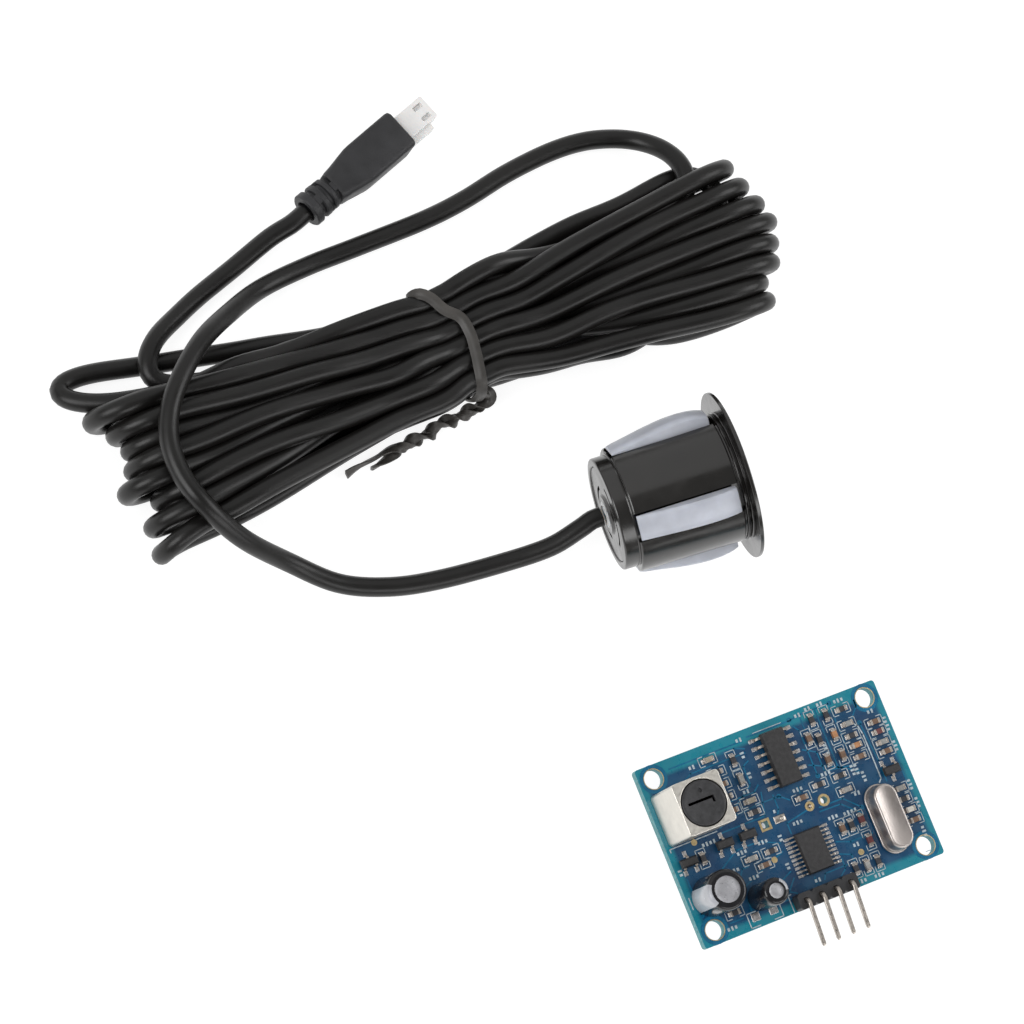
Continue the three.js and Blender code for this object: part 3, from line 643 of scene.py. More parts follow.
def settle(line, fixed, rounds):
    """Pushes runs apart where they would share space, and keeps them rounded, low and tied."""
    gap = 1.01 * CORD_DIAMETER
    n = len(line)
    apart = np.abs(np.subtract.outer(np.arange(n), np.arange(n))) > 6
    free = ~fixed
    to_tie = np.array(TIE.inverted())
    from_tie = np.array(TIE)
    for _ in range(rounds):
        delta = line[:, None, :] - line[None, :, :]
        reach = np.sqrt((delta ** 2).sum(2)) + 1e-9
        short = np.where(apart & (reach < gap), (gap - reach) / reach, 0.0)
        push = (delta * short[:, :, None]).sum(1) * 0.28
        line[free] += push[free]
        bent = np.zeros_like(line)
        bent[2:-2] = (-line[:-4] + 4 * line[1:-3] + 4 * line[3:-1] - line[4:]) / 6 - line[2:-2]
        line[free] += 0.5 * bent[free]
        local = (line * MM) @ to_tie[:3, :3].T + to_tie[:3, 3]
        held = free & (np.abs(local[:, 0]) < 10.0) & (np.abs(local[:, 1]) < 14)
        slack = 0.05 * np.maximum(0.0, np.abs(local[held, 0]) - 1.5) ** 2
        local[held, 1] = np.clip(local[held, 1], -TIE_REACH - slack, TIE_REACH + slack)
        local[held, 2] = np.clip(local[held, 2], TIE_LOW - slack, TIE_HIGH + slack)
        line[held] = (local[held] @ from_tie[:3, :3].T + from_tie[:3, 3]) / MM
        line[free, 2] = np.clip(line[free, 2], 1.55, 11.5)
    return line


def cord_line():
    exit_point = np.array(PROBE @ Vector((0, 0, -0.8))) / MM
    straight = np.array(PROBE @ Vector((0, 0, -2.0))) / MM
    plug_end = [np.array(PLUG @ Vector((x, 0, 0))) / MM for x in (-23.0, -20.3)]
    lead = [exit_point, straight] + [np.array(p) / MM for p in LEAD_ROUTE]
    tail = [np.array(p) / MM for p in TAIL_ROUTE] + plug_end
    hank = hank_route()
    line = smooth_line(lead + hank + tail, 1.6)
    ran = np.concatenate([[0], np.cumsum(np.linalg.norm(np.diff(line, axis=0), axis=1))])
    lead_length = ran[np.argmin(np.linalg.norm(line - lead[-1], axis=1))]
    tail_start = ran[np.argmin(np.linalg.norm(line - tail[0], axis=1))]
    fixed = (ran < lead_length - 2) | (ran > tail_start + 2)
    line = settle(line, fixed, 60)
    return smooth_line(line, 0.75), exit_point * MM


def make_cord():
    line, exit_point = cord_line()
    curve = bpy.data.curves.new("cord", "CURVE")
    curve.dimensions = "3D"
    spline = curve.splines.new("POLY")
    spline.points.add(len(line) - 1)
    for point, (x, y, z) in zip(spline.points, line * MM):
        point.co = (x, y, z, 1)
    spline.use_smooth = True
    curve.bevel_depth = CORD_DIAMETER / 2 * MM
    curve.bevel_resolution = 6
    curve.use_fill_caps = True
    cord = bpy.data.objects.new("cord", curve)
    bpy.context.scene.collection.objects.link(cord)
    curve.materials.append(MATERIALS["cord_jacket"])
    join_frame(cord, "root", ("cord_lead", "cord_hank", "cord_tail"))
    return cord


# ---------- twist tie ----------
def tie_ribbon():
    """The coated flat wire's section: a round core with a thin wing on each side."""
    return [(-0.85, -0.1), (-0.4, -0.2), (0, -0.36), (0.4, -0.2), (0.85, -0.1),
            (0.85, 0.1), (0.4, 0.2), (0, 0.36), (-0.4, 0.2), (-0.85, 0.1)]


def make_twist_tie():
    loop = Builder()
    over = [
        (-26.1, 71.2, 7.5), (-25.7, 71.3, 9.0), (-24.8, 71.0, 10.0), (-23.5, 69.7, 10.25),
        (-22.3, 67.5, 10.25), (-20.4, 65.6, 10.25), (-19.9, 62.8, 10.3), (-20.2, 59.9, 10.3),
        (-20.6, 57.6, 10.25), (-20.9, 55.5, 9.8), (-21.0, 54.2, 8.3), (-21.0, 53.9, 6.4),
    ]
    under = [
        (-21.2, 54.1, 3.8), (-21.6, 55.7, 1.2), (-22.0, 60.0, 0.75), (-22.6, 66.0, 0.75), (-23.6, 70.4, 1.1),
        (-25.0, 71.9, 4.0),
    ]
    path = smooth_line((under[-2:] + over + under + over[:2]), 0.6)
    start, end = (np.argmin(np.linalg.norm(path[part] - np.array(over[0]), axis=1)) for part in
                  (slice(0, len(path) // 2), slice(len(path) // 2, None)))
    path = path[start:end + len(path) // 2]
    loop.sweep(path, tie_ribbon(), closed=True)
    loop.make("twist_tie_loop", ["tie_plastic"], smooth=50, replaces=("twist_tie_loop",))

    step, pitch = 0.3, 7.2
    route = smooth_line([
        (-20.3, 54.3, 6.0), (-19.2, 54.2, 5.0), (-18.9, 53.7, 3.7), (-20.4, 53.1, 2.6), (-22.8, 52.8, 2.0),
        (-26.0, 52.5, 1.8), (-29.5, 51.8, 1.7), (-33.0, 51.3, 1.7), (-36.5, 50.9, 1.6),
    ], step)
    frames = carried_frames(route)
    tail = Builder()
    for side in (0, 1):
        strand_line = []
        for i, (p, (u, v)) in enumerate(zip(route, frames)):
            a = 2 * math.pi * i * step / pitch + math.pi * side
            strand_line.append(p + 0.5 * (u * math.cos(a) + v * math.sin(a)))
        ends = [(-38.4, 51.0, 1.4), (-40.2, 50.8, 1.1), (-42.0, 50.5, 1.0), (-43.4, 50.1, 1.0)]
        if side:
            ends = [(-37.8, 50.0, 1.2), (-39.4, 49.7, 1.1)]
        whole = smooth_line(strand_line[::3] + ends, step)
        turns = len(route) * step / pitch
        share = len(route) / len(whole)  # how much of the strand is twisted

        def roll(t):
            loose = max(0.0, (t - share) / (1 - share))
            return 2 * math.pi * turns * min(t / share, 1.0) + math.pi / 2 * (1 + loose)

        tail.sweep(whole, tie_ribbon(), roll=roll)
    tail.make("twist_tie_tail", ["tie_plastic"], smooth=50, replaces=("twist_tie_tail",))


# ---------- probe ----------
STRIP_ANGLES = [29 + 90 * k for k in range(4)]
STRIP_START, STRIP_END, STRIP_WIDTH, STRIP_SEAT = 2.6, 18.2, 4.0, 9.35


def arc_points(centre_r, centre_z, radius, first, last, steps=5):
    """Points of a quarter round in a (radius, height) profile."""
    points = []
    for k in range(steps + 1):
        a = math.radians(first + (last - first) * k / steps)
        points.append((centre_r + radius * math.cos(a), centre_z + radius * math.sin(a)))
    return points


def make_probe_housing():
    profile = [(7.5, 0.15), (7.65, 0.0)] + arc_points(8.45, 0.3, 0.3, -90, 0)
    profile += [(8.75, 2.15), (8.85, 2.3)] + arc_points(9.35, 2.65, 0.35, -90, 0)
    profile += [(9.95, 18.55), (9.9, 18.62), (9.62, 18.7), (9.6, 18.8), (9.6, 18.95), (9.62, 19.02)]
    profile += [(9.9, 19.1), (9.95, 19.17), (9.95, 19.38), (9.9, 19.46), (9.62, 19.54), (9.62, 19.66)]
    profile += [(9.95, 19.76)]
    profile += [(9.97, 19.84), (10.05, 19.9), (12.94, 19.9), (13.0, 19.96), (13.0, 20.3)]
    profile += arc_points(12.8, 20.3, 0.2, 0, 90) + [(8.3, 20.5), (8.2, 20.4), (8.2, 18.6), (7.5, 18.6)]
    cutters = []
    for angle in STRIP_ANGLES:
        groove = Builder(PROBE @ Matrix.Rotation(math.radians(angle), 4, "Z"))
        low, high = STRIP_START - 0.3, STRIP_END + 0.8
        cutters.append(groove.box((8.4 + 1.5, 0, (low + high) / 2), (3.0, STRIP_WIDTH + 0.6, high - low)))
    Builder(PROBE).lathe(profile, 160).make(
        "probe_housing_body", ["probe_black"], 0.07, 2, 32, replaces=("probe_housing",), cutters=cutters)


def make_rear_cap():
    cap = Builder(PROBE)
    cap.lathe([(1.95, 0.7), (1.95, 0.0), (2.2, -0.15), (2.9, -0.15), (3.15, 0.05), (3.3, 0.15), (3.5, 0.15),
               (7.2, 0.12), (7.38, 0.16), (7.45, 0.25), (7.45, 1.4), (1.95, 1.4)], 120)
    cutters = []
    for radius, middle, sweep in ((4.2, 25, 150), (5.5, 200, 110)):
        path = []
        for k in range(25):
            a = math.radians(middle + sweep * (k / 24 - 0.5))
            path.append((radius * math.cos(a), radius * math.sin(a), 0.2))
        cutters.append(Builder(PROBE).sweep(path, [(-0.3, -0.6), (0.3, -0.6), (0.3, 0.6), (-0.3, 0.6)]))
    cap.make("probe_cap_body", ["probe_black"], 0.05, 2, 32, replaces=("probe_rear_cap",), cutters=cutters)


def make_sealant():
    """A smeared collar of sealant where the cord enters the cap."""
    sides, steps = 64, 14
    bore, hidden = 1.56, 0.05  # the cord's side, and how deep the collar starts in the cap
    rings = []
    for i in range(sides):
        a = 2 * math.pi * i / sides
        spread = 0.62 + 0.16 * math.sin(2 * a + 0.6) + 0.08 * math.sin(5 * a)
        outline = []
        for j in range(steps):
            t = j / (steps - 1)
            z = -0.16 - 0.4 * spread * (1 - t) ** 1.7 - 0.06 * math.sin(3 * a + 5 * t)
            outline.append((bore + t * 0.8 * spread, z))
        outline += [(2.4, hidden), (bore, hidden)]
        rings.append([(r * math.cos(a), r * math.sin(a), z) for r, z in outline])
    seal = Builder(PROBE).loft(rings, closed=True)
    seal.make("sealant_collar", ["sealant"], smooth=60, replaces=("cable_seal",))


def strip_height(s):
    """Outer height of a strip along the probe: a low rear end bowing up to the front."""
    places = [(2.6, 10.0), (6.0, 10.6), (9.0, 11.2), (12.5, 11.65), (16.2, 11.6), (18.2, 11.0)]
    return float(np.interp(s, [p[0] for p in places], [p[1] for p in places]))


def make_strips():
    stations = [STRIP_START + (STRIP_END - STRIP_START) * k / 20 for k in range(21)]
    tops = np.array([strip_height(s) for s in stations])
    for _ in range(4):
        tops[1:-1] = (tops[:-2] + 2 * tops[1:-1] + tops[2:]) / 4
    for k, angle in enumerate(STRIP_ANGLES):
        strip = Builder(PROBE @ Matrix.Rotation(math.radians(angle), 4, "Z"))
        half = STRIP_WIDTH / 2
        section = []
        for s, top in zip(stations, tops):
            end = min(s - STRIP_START, STRIP_END - s)
            inset = 0.25 * (1 - min(1.0, end / 0.8)) ** 2
            section.append([
                (STRIP_SEAT + 0.05, -half, s), (top - 0.35, -half, s), (top - 0.1, -half + 0.3 + inset, s),
                (top, -half * 0.45, s), (top + 0.02, 0, s), (top, half * 0.45, s),
                (top - 0.1, half - 0.3 - inset, s), (top - 0.35, half, s), (STRIP_SEAT + 0.05, half, s),
            ])
        name = f"retaining_strip_{k + 1}"
        strip.loft(section).make(f"{name}_body", ["milky_strip"], 0.12, 3, 40, f"strip_{k + 1}", (name,))


def make_transducer():
    cup = Builder(PROBE)
    cup.lathe([(0.0, 19.6), (5.7, 19.6), (5.7, 12.0), (6.4, 12.0), (6.4, 19.4), (7.3, 19.4), (7.3, 20.25),
               (7.22, 20.35), (7.1, 20.4), (0.0, 20.4)], 128)
    cup.make("transducer_face", ["cup_metal"], replaces=("transducer_cup",))
    rubber = Builder(PROBE)
    rubber.lathe([(6.6, 12.2), (7.3, 12.2), (7.3, 18.8), (8.0, 18.8), (8.0, 20.1), (7.95, 20.2), (7.6, 20.2),
                  (7.5, 20.1), (7.5, 19.2), (6.6, 19.2)], 128)
    rubber.make("isolation_rubber_ring", ["isolation_rubber"], replaces=("isolation_ring",))


# ---------- plug ----------
def make_plug():
    body = Builder(PLUG)
    stations = [  # distance back from the front face, width, height, corner radius
        (0.0, 5.9, 5.5, 0.5), (0.25, 6.55, 6.1, 0.7), (0.7, 6.7, 6.3, 0.75), (4.0, 6.7, 6.3, 0.75),
        (8.6, 6.7, 6.25, 0.75), (9.6, 6.6, 6.15, 0.8), (11.2, 6.05, 5.85, 0.9), (13.0, 5.4, 5.5, 1.1),
        (14.1, 5.15, 5.3, 1.25), (14.6, 4.8, 5.0, 1.3),
    ]
    rings = [[(-s, y, z) for y, z in rounded_rectangle(w, h, r, 4)] for s, w, h, r in stations]
    sleeve = Builder(PLUG).box((-1.6, 0, 0), (4.2, 4.5, 3.6))
    body.loft(rings)
    shell = body.make("plug_moulding_body", ["plug_moulding"], 0.0, 2, 45, "root", ("plug_body",), [sleeve])
    return [shell, make_relief(), make_nylon_tip()]


def make_relief():
    """Three rings joined by two webs, so that the sleeve can bend: the slots alternate."""
    relief = Builder(PLUG @ Matrix.Rotation(math.radians(-90), 4, "Y"))
    back = 14.6
    core = [(1.65, back), (2.15, back), (2.15, back + 5.05), (1.65, back + 5.05)]
    relief.lathe(core, 64)
    for low, high, outer in ((0.55, 1.45, 2.62), (2.15, 3.2, 2.7), (3.9, 5.3, 2.78)):
        relief.lathe([(1.75, back + low), (outer - 0.18, back + low), (outer, back + low + 0.18),
                      (outer, back + high - 0.2), (outer - 0.2, back + high), (1.75, back + high)], 64)
    for turn, low, high in ((0, 0.0, 0.6), (180, 0.0, 0.6), (90, 1.4, 2.2), (270, 1.4, 2.2), (0, 3.15, 3.95),
                            (180, 3.15, 3.95)):
        a = math.radians(turn)
        relief.box((2.2 * math.cos(a), 2.2 * math.sin(a), back + (low + high) / 2), (0.75, 1.5, high - low),
                   0, turn)
    return relief.make("plug_relief_rings", ["plug_moulding"], smooth=40, replaces=("plug_strain_relief",))


def make_nylon_tip():
    tip = Builder(PLUG)
    outline = rounded_rectangle(9.0, 4.1, 0.35, 3, 1.7, 0.0)
    tip.prism(outline, -1.6, 1.6)
    cutters = []
    for side in (-1, 1):
        for centre, size in (((3.2, side, 0), (9, 1.1, 1.1)), ((4.6, side, 1.5), (1.6, 0.7, 1.2))):
            cutters.append(Builder(PLUG).box(centre, size))
    tip.make("plug_tip_body", ["nylon"], 0.12, 2, 35, replaces=("plug_nylon_tip",), cutters=cutters)
    rail = Builder(PLUG).prism(rounded_rectangle(7.6, 1.3, 0.2, 2, 1.0, -2.45), -1.5, 0.6)
    return rail.make("plug_tip_rail", ["nylon"], 0.12, 2, 35)


# ---------- driver board ----------
BOARD_SIZE = (41.4, 28.4, 1.6)
HOLE_PLACES = [(sx * 18.25, sy * 12.05) for sx in (-1, 1) for sy in (-1, 1)]
OPEN_PADS = [(-4.55, -0.35), (5.7, -0.1)]
PIN_X = [-0.1 + 2.54 * (k - 1.5) for k in range(4)]
PIN_Y = -13.0


def circle(x, y, radius, steps=40):
    return [(x + radius * math.cos(2 * math.pi * k / steps), y + radius * math.sin(2 * math.pi * k / steps))
            for k in range(steps)]


def make_board():
    slab = Builder(BOARD)
    slab.prism(rounded_rectangle(BOARD_SIZE[0], BOARD_SIZE[1], 0.5, 4), -BOARD_SIZE[2], 0.0)
    drills = [(x, y, 1.5) for x, y in HOLE_PLACES] + [(x, y, 0.55) for x, y in OPEN_PADS]
    cutters = [Builder(BOARD).prism(circle(x, y, r), -3, 1) for x, y, r in drills]
    slab.make("board_laminate", ["board_blue", "board_core"], 0.06, 2, 35, replaces=("circuit_board",),
              cutters=cutters, paint=lambda face: 0 if abs(face.normal.z) > 0.5 else 1)


class Print(Builder):
    """Flat work on the board: ribbons and patches a few hundredths thick."""

    def __init__(self, height, thick=0.03):
        super().__init__(BOARD)
        self.low, self.high = height, height + thick

    def ribbon(self, points, width, slot=0):
        for (x0, y0), (x1, y1) in zip(points[:-1], points[1:]):
            length = math.hypot(x1 - x0, y1 - y0)
            turn = math.degrees(math.atan2(y1 - y0, x1 - x0))
            centre = ((x0 + x1) / 2, (y0 + y1) / 2, (self.low + self.high) / 2)
            self.box(centre, (length + width * 0.7, width, self.high - self.low), slot, turn)
        return self

    def patch(self, x, y, width, depth, slot=0, turn=0):
        return self.box((x, y, (self.low + self.high) / 2), (width, depth, self.high - self.low), slot, turn)

    def ring(self, x, y, inner, outer, slot=0):
        profile = [(inner, self.low), (outer, self.low), (outer, self.high), (inner, self.high)]
        return self.lathe(profile, 32, slot, (x, y))

    def dot(self, x, y, radius, slot=0):
        return self.prism(circle(x, y, radius, 28), self.low, self.high, slot)

    def brackets(self, x, y, width, depth, upright, line=0.15):
        """Two facing brackets round a chip, open in the middle of its long sides."""
        for side in (-1, 1):
            line_points = []
            for across, along in ((-0.5, 0.22), (-0.5, 0.5), (0.5, 0.5), (0.5, 0.22)):
                u, v = across * depth, side * along * width
                line_points.append((x + u, y + v) if upright else (x + v, y + u))
            self.ribbon(line_points, line)

    def marks(self, x, y, count=2, upright=False):
        """A short row of plain blocks where a part's reference would be."""
        for k in range(count):
            step = (k - (count - 1) / 2) * 0.62
            u, v = (x, y + step) if upright else (x + step, y)
            long, wide = (0.66, 0.3) if k % 2 else (0.5, 0.36)
            self.patch(u, v, *((long, wide) if upright else (wide, long)))


# Small chips: x, y, upright, body colour, and whether it is a capacitor (pale) or resistor (dark top).
CHIPS = [
    (-9.2, 11.8, 0, "beige"), (-5.5, 10.4, 1, "dark"), (-5.5, 7.3, 1, "grey"), (-8.6, 9.6, 0, "dark"),
    (-8.6, 7.6, 0, "brown"), (-8.6, 5.6, 0, "dark"), (-8.6, 3.4, 0, "brown"), (-5.4, 3.8, 0, "beige"),
    (-5.4, 2.0, 0, "dark"), (-15.8, -1.6, 1, "dark"), (-8.7, -4.3, 0, "grey"), (-5.3, -4.3, 0, "dark"),
    (-7.1, -5.9, 0, "brown"), (-14.4, -10.8, 0, "dark"), (2.5, 1.4, 0, "brown"), (5.9, 2.3, 0, "dark"),
    (9.6, 2.4, 0, "dark"), (9.6, 0.1, 0, "grey"), (7.1, 9.3, 1, "brown"), (8.7, 11.8, 1, "dark"),
    (8.7, 8.6, 1, "dark"), (8.7, 5.3, 1, "brown"), (11.2, 11.7, 1, "dark"), (11.2, 8.5, 1, "orange"),
    (11.2, 5.2, 1, "brown"), (13.9, 11.7, 0, "dark"), (13.9, 9.3, 0, "grey"), (13.8, 7.4, 0, "dark"),
    (13.9, 5.8, 0, "orange"), (13.8, 4.0, 0, "brown"), (18.1, 8.1, 0, "brown"), (18.1, 6.5, 0, "red"),
    (18.1, 4.8, 0, "grey"), (18.1, 3.3, 0, "brown"), (6.6, -5.1, 1, "brown"), (8.2, -5.1, 1, "dark"),
    (10.0, -4.9, 1, "red"), (10.0, -8.2, 1, "red"), (6.2, -11.4, 1, "dark"), (8.1, -11.6, 1, "grey"),
    (10.0, -11.6, 1, "dark"), (17.8, -2.7, 0, "grey"), (17.7, -4.4, 0, "dark"), (18.0, -6.2, 0, "pale"),
    (18.1, -7.9, 0, "brown"),
]
CHIP_COLOURS = {
    "beige": (0.3, 0.27, 0.21), "grey": (0.27, 0.27, 0.26), "brown": (0.16, 0.095, 0.06),
    "dark": (0.03, 0.03, 0.035), "orange": (0.42, 0.2, 0.09), "red": (0.14, 0.04, 0.04),
    "pale": (0.6, 0.58, 0.52),
}
CHIP_NODES = [  # the eight chips that the CAD model has as nodes of their own
    (-9.2, 11.8), (-5.5, 7.3), (-5.4, 3.8), (-7.1, -5.9), (9.6, 0.1), (6.6, -5.1), (13.9, 9.3), (11.2, 8.5),
]


def make_chips():
    for name, colour in CHIP_COLOURS.items():
        MATERIALS[f"chip_{name}"] = plain(f"{name} chip", colour, 0.45, 0.5, 0.2, 0.012)
    for k, (x, y, upright, kind) in enumerate(CHIPS):
        turn = 90.0 if upright else 0.0
        c, s = math.cos(math.radians(turn)), math.sin(math.radians(turn))
        high = 0.45 if kind == "dark" else 0.7
        chip = Builder(BOARD)
        chip.box((x, y, 0.08 + high / 2), (1.0, 0.8, high), 0, turn)
        for side in (-1, 1):
            u = side * 0.64
            chip.box((x + c * u, y + s * u, 0.08 + high / 2 + 0.01), (0.34, 0.86, high + 0.04), 1, turn)
            w = side * 0.93
            chip.box((x + c * w, y + s * w, 0.13), (0.42, 0.88, 0.18), 2, turn, 0.1)
        node = [f"chip_part_{i + 1}" for i, p in enumerate(CHIP_NODES) if p == (x, y)]
        chip.make(f"chip_{k + 1:02d}", [f"chip_{kind}", "tinned_metal", "solder"], 0.05, 2, 35, "root", node)


def gull_lead(work, y, side, span, body_half, width, thick, height, pad):
    """One lead leaving the body, stepping down and lying on its solder pad."""
    knee = body_half + (span / 2 - body_half) * 0.35
    foot = body_half + (span / 2 - body_half) * 0.55
    drop = 0.12
    path = [(body_half - 0.2, height), (knee, height), (foot, drop + thick / 2), (span / 2, drop + thick / 2)]
    for (u0, z0), (u1, z1) in zip(path[:-1], path[1:]):
        points = []
        for u, z in ((u0, z0), (u1, z1)):
            for v in (-width / 2, width / 2):
                for w in (-thick / 2, thick / 2):
                    points.append((side * u, y + v, z + w))
        faces = [(0, 1, 3, 2), (4, 6, 7, 5), (0, 4, 5, 1), (2, 3, 7, 6), (0, 2, 6, 4), (1, 5, 7, 3)]
        work.add(points, faces, 0)
    mid = side * (span / 2 - 0.05 + pad / 2 - 0.35)
    work.box((mid, y, 0.09), (pad, width + 0.25, 0.14), 1, 0, 0.06)


def make_package(name, centre, body, span, leads, width, thick, replaces, turn=0):
    x, y = centre
    place = BOARD @ Matrix.Translation((x, y, 0)) @ Matrix.Rotation(math.radians(turn), 4, "Z")
    shell = Builder(place)
    half_x, half_y, high = body[0] / 2, body[1] / 2, body[2]
    foot = 0.22
    belt = foot + high * 0.45
    for low, top, near, far in ((foot, belt, 0.16, 0.0), (belt, foot + high, 0.0, 0.2)):
        points = [(sx * (half_x - near), sy * (half_y - near), low) for sx, sy in SQUARE]
        points += [(sx * (half_x - far), sy * (half_y - far), top) for sx, sy in SQUARE]
        shell.add(points, BOX_FACES)
    shell.make(f"{name}_body", ["chip_epoxy"], 0.05, 2, 20, "root", replaces)
    legs = Builder(place)
    for side, v in leads:
        gull_lead(legs, v, side, span, half_x, width, thick, belt, 0.95)
    legs.make(f"{name}_leads", ["tinned_metal", "solder"], 0.03, 1, 35)
    if len(leads) > 6:
        dimple = Builder(place).lathe([(0.0, foot + high), (0.28, foot + high), (0.33, foot + high + 0.012),
                                       (0.0, foot + high + 0.012)], 24, 0, (-half_x + 0.75, half_y - 0.8))
        dimple.make(f"{name}_dimple", ["header_plastic"])


def both_rows(count, pitch):
    return [(side, (k - (count - 1) / 2) * pitch) for side in (-1, 1) for k in range(count)]


TRANSISTOR_PLACES = [(-18.2, -1.35, 90), (-11.85, -0.75, 90), (-7.95, -0.75, 90), (17.6, 0.4, -90)]


def make_packages():
    make_package("driver_chip", (1.55, 8.2), (3.9, 8.65, 1.45), 6.2, both_rows(7, 1.27), 0.42, 0.2,
                 ("driver_chip",))
    make_package("controller_chip", (0.9, -6.55), (4.4, 6.5, 0.95), 6.5, both_rows(10, 0.65), 0.24, 0.14,
                 ("controller_chip",))
    for k, (x, y, turn) in enumerate(TRANSISTOR_PLACES):
        name = f"transistor_{k + 1}"
        make_package(name, (x, y), (1.35, 2.9, 0.95), 2.6, [(1, 0), (-1, 0.95), (-1, -0.95)], 0.42, 0.14,
                     (name,), turn)


COIL = {"centre": (-16.1, 5.7), "width": 7.8, "depth": 8.1, "height": 10.62, "core": 3.45}


def make_transformer():
    x, y = COIL["centre"]
    place = BOARD @ Matrix.Translation((x, y, 0))
    can = Builder(place)
    can.prism(rounded_rectangle(COIL["width"], COIL["depth"], 0.55, 5), 0.1, COIL["height"])
    well = Builder(place).prism(circle(0, 0, COIL["core"] + 0.12, 96), 6.0, 12.0)
    hollow = Builder(place).prism(rounded_rectangle(7.2, 7.5, 0.4, 4), -1.0, 10.1)
    can.make("transformer_shield", ["can_metal"], 0.22, 4, 40, replaces=("transformer_can",),
             cutters=[well, hollow])

    top = COIL["height"] + 0.05
    r = COIL["core"]
    core = Builder(place)
    core.lathe([(0, top - 4.2), (r, top - 4.2), (r, top - 0.2), (r - 0.06, top - 0.07), (r - 0.2, top),
                (r - 0.5, top - 0.02), (r - 0.7, top - 0.06), (0, top - 0.07)], 96)
    slots = [
        Builder(place).box((-0.3, 0.45, top), (4.2, 0.4, 1.2)),
        Builder(place).box((1.62, 0.1, top), (0.4, 1.0, 1.2)),
        Builder(place).prism(circle(0.1, 1.9, 0.33, 24), top - 0.3, top + 1),
    ]
    core.make("core_slug", ["ferrite"], 0.04, 2, 40, "core", ("tuning_core",), slots)


def make_crystal():
    place = BOARD @ Matrix.Translation((13.8, -6.2, 0))
    base = Builder(place)
    base.prism(rounded_rectangle(4.7, 11.0, 2.3, 12), 0.25, 0.8)
    base.make("crystal_flange", ["crystal_metal"], 0.18, 3, 40, "root", ("crystal_base",))
    can = Builder(place)
    rings = [
        (4.25, 10.55, 0.82), (4.2, 10.5, 0.92), (3.95, 10.25, 1.02), (3.9, 10.2, 1.2), (3.9, 10.2, 3.1),
        (3.86, 10.16, 3.35), (3.72, 10.02, 3.56), (3.5, 9.8, 3.68), (3.1, 9.4, 3.72), (2.95, 9.25, 3.68),
    ]
    can.loft([[(u, v, z) for u, v in rounded_rectangle(w, d, w / 2 - 0.02, 12)] for w, d, z in rings])
    can.make("crystal_cover", ["crystal_metal"], smooth=50, replaces=("crystal_can",))


def make_electrolytic(name, x, y, radius, height, open_radius, stripe_turn):
    place = BOARD @ Matrix.Translation((x, y, 0)) @ Matrix.Rotation(math.radians(stripe_turn), 4, "Z")
    high = height + 0.12
    sleeve = Builder(place)
    profile = [(radius - 0.2, 0.12), (radius - 0.05, 0.12), (radius, 0.25), (radius, high - 0.75),
               (radius - 0.04, high - 0.45), (radius - 0.16, high - 0.18), (radius - 0.38, high - 0.03),
               (radius - 0.6, high), (open_radius, high - 0.02), (open_radius, high - 0.12),
               (radius - 0.5, high - 0.14), (radius - 0.2, high - 0.5)]
    sleeve.lathe(profile, 96)
    to_local = place.inverted()

    def stripe(face):
        p = to_local @ face.center
        return int(abs(math.atan2(p.y, p.x)) < 0.62 and math.hypot(p.x, p.y) > radius - 0.52)

    sleeve.make(f"{name}_wrap", ["capacitor_sleeve", "sleeve_stripe"], 0.0, 2, 50,
                replaces=(f"{name}_sleeve",), paint=stripe)
    can = Builder(place)
    inner = radius - 0.3
    lid = high - 0.14
    can.lathe([(0, 0.2), (inner - 0.2, 0.2), (inner, 0.4), (inner, lid - 0.4), (inner - 0.3, lid),
               (open_radius + 0.05, lid), (open_radius * 0.82, lid - 0.05), (open_radius * 0.6, lid - 0.02),
               (0, lid - 0.02)], 72)
    vents = []
    reach = open_radius * 0.95
    for turn in (30, 150, 270) if radius > 2.5 else ():
        a = math.radians(turn)
        vents.append(Builder(place).box((reach / 2 * math.cos(a), reach / 2 * math.sin(a), lid + 0.03),
                                        (reach, 0.1, 0.18), 0, turn))
    can.make(f"{name}_aluminium", ["capacitor_aluminium"], 0.0, 2, 40, "root", (f"{name}_can",), vents)


def chamfered(wide, deep, flat_x, flat_y):
    """A rectangle of half sizes wide and deep, its corners cut back to flat_x and flat_y."""
    return [(-wide, -flat_y), (-flat_x, -deep), (flat_x, -deep), (wide, -flat_y), (wide, flat_y),
            (flat_x, deep), (-flat_x, deep), (-wide, flat_y)]


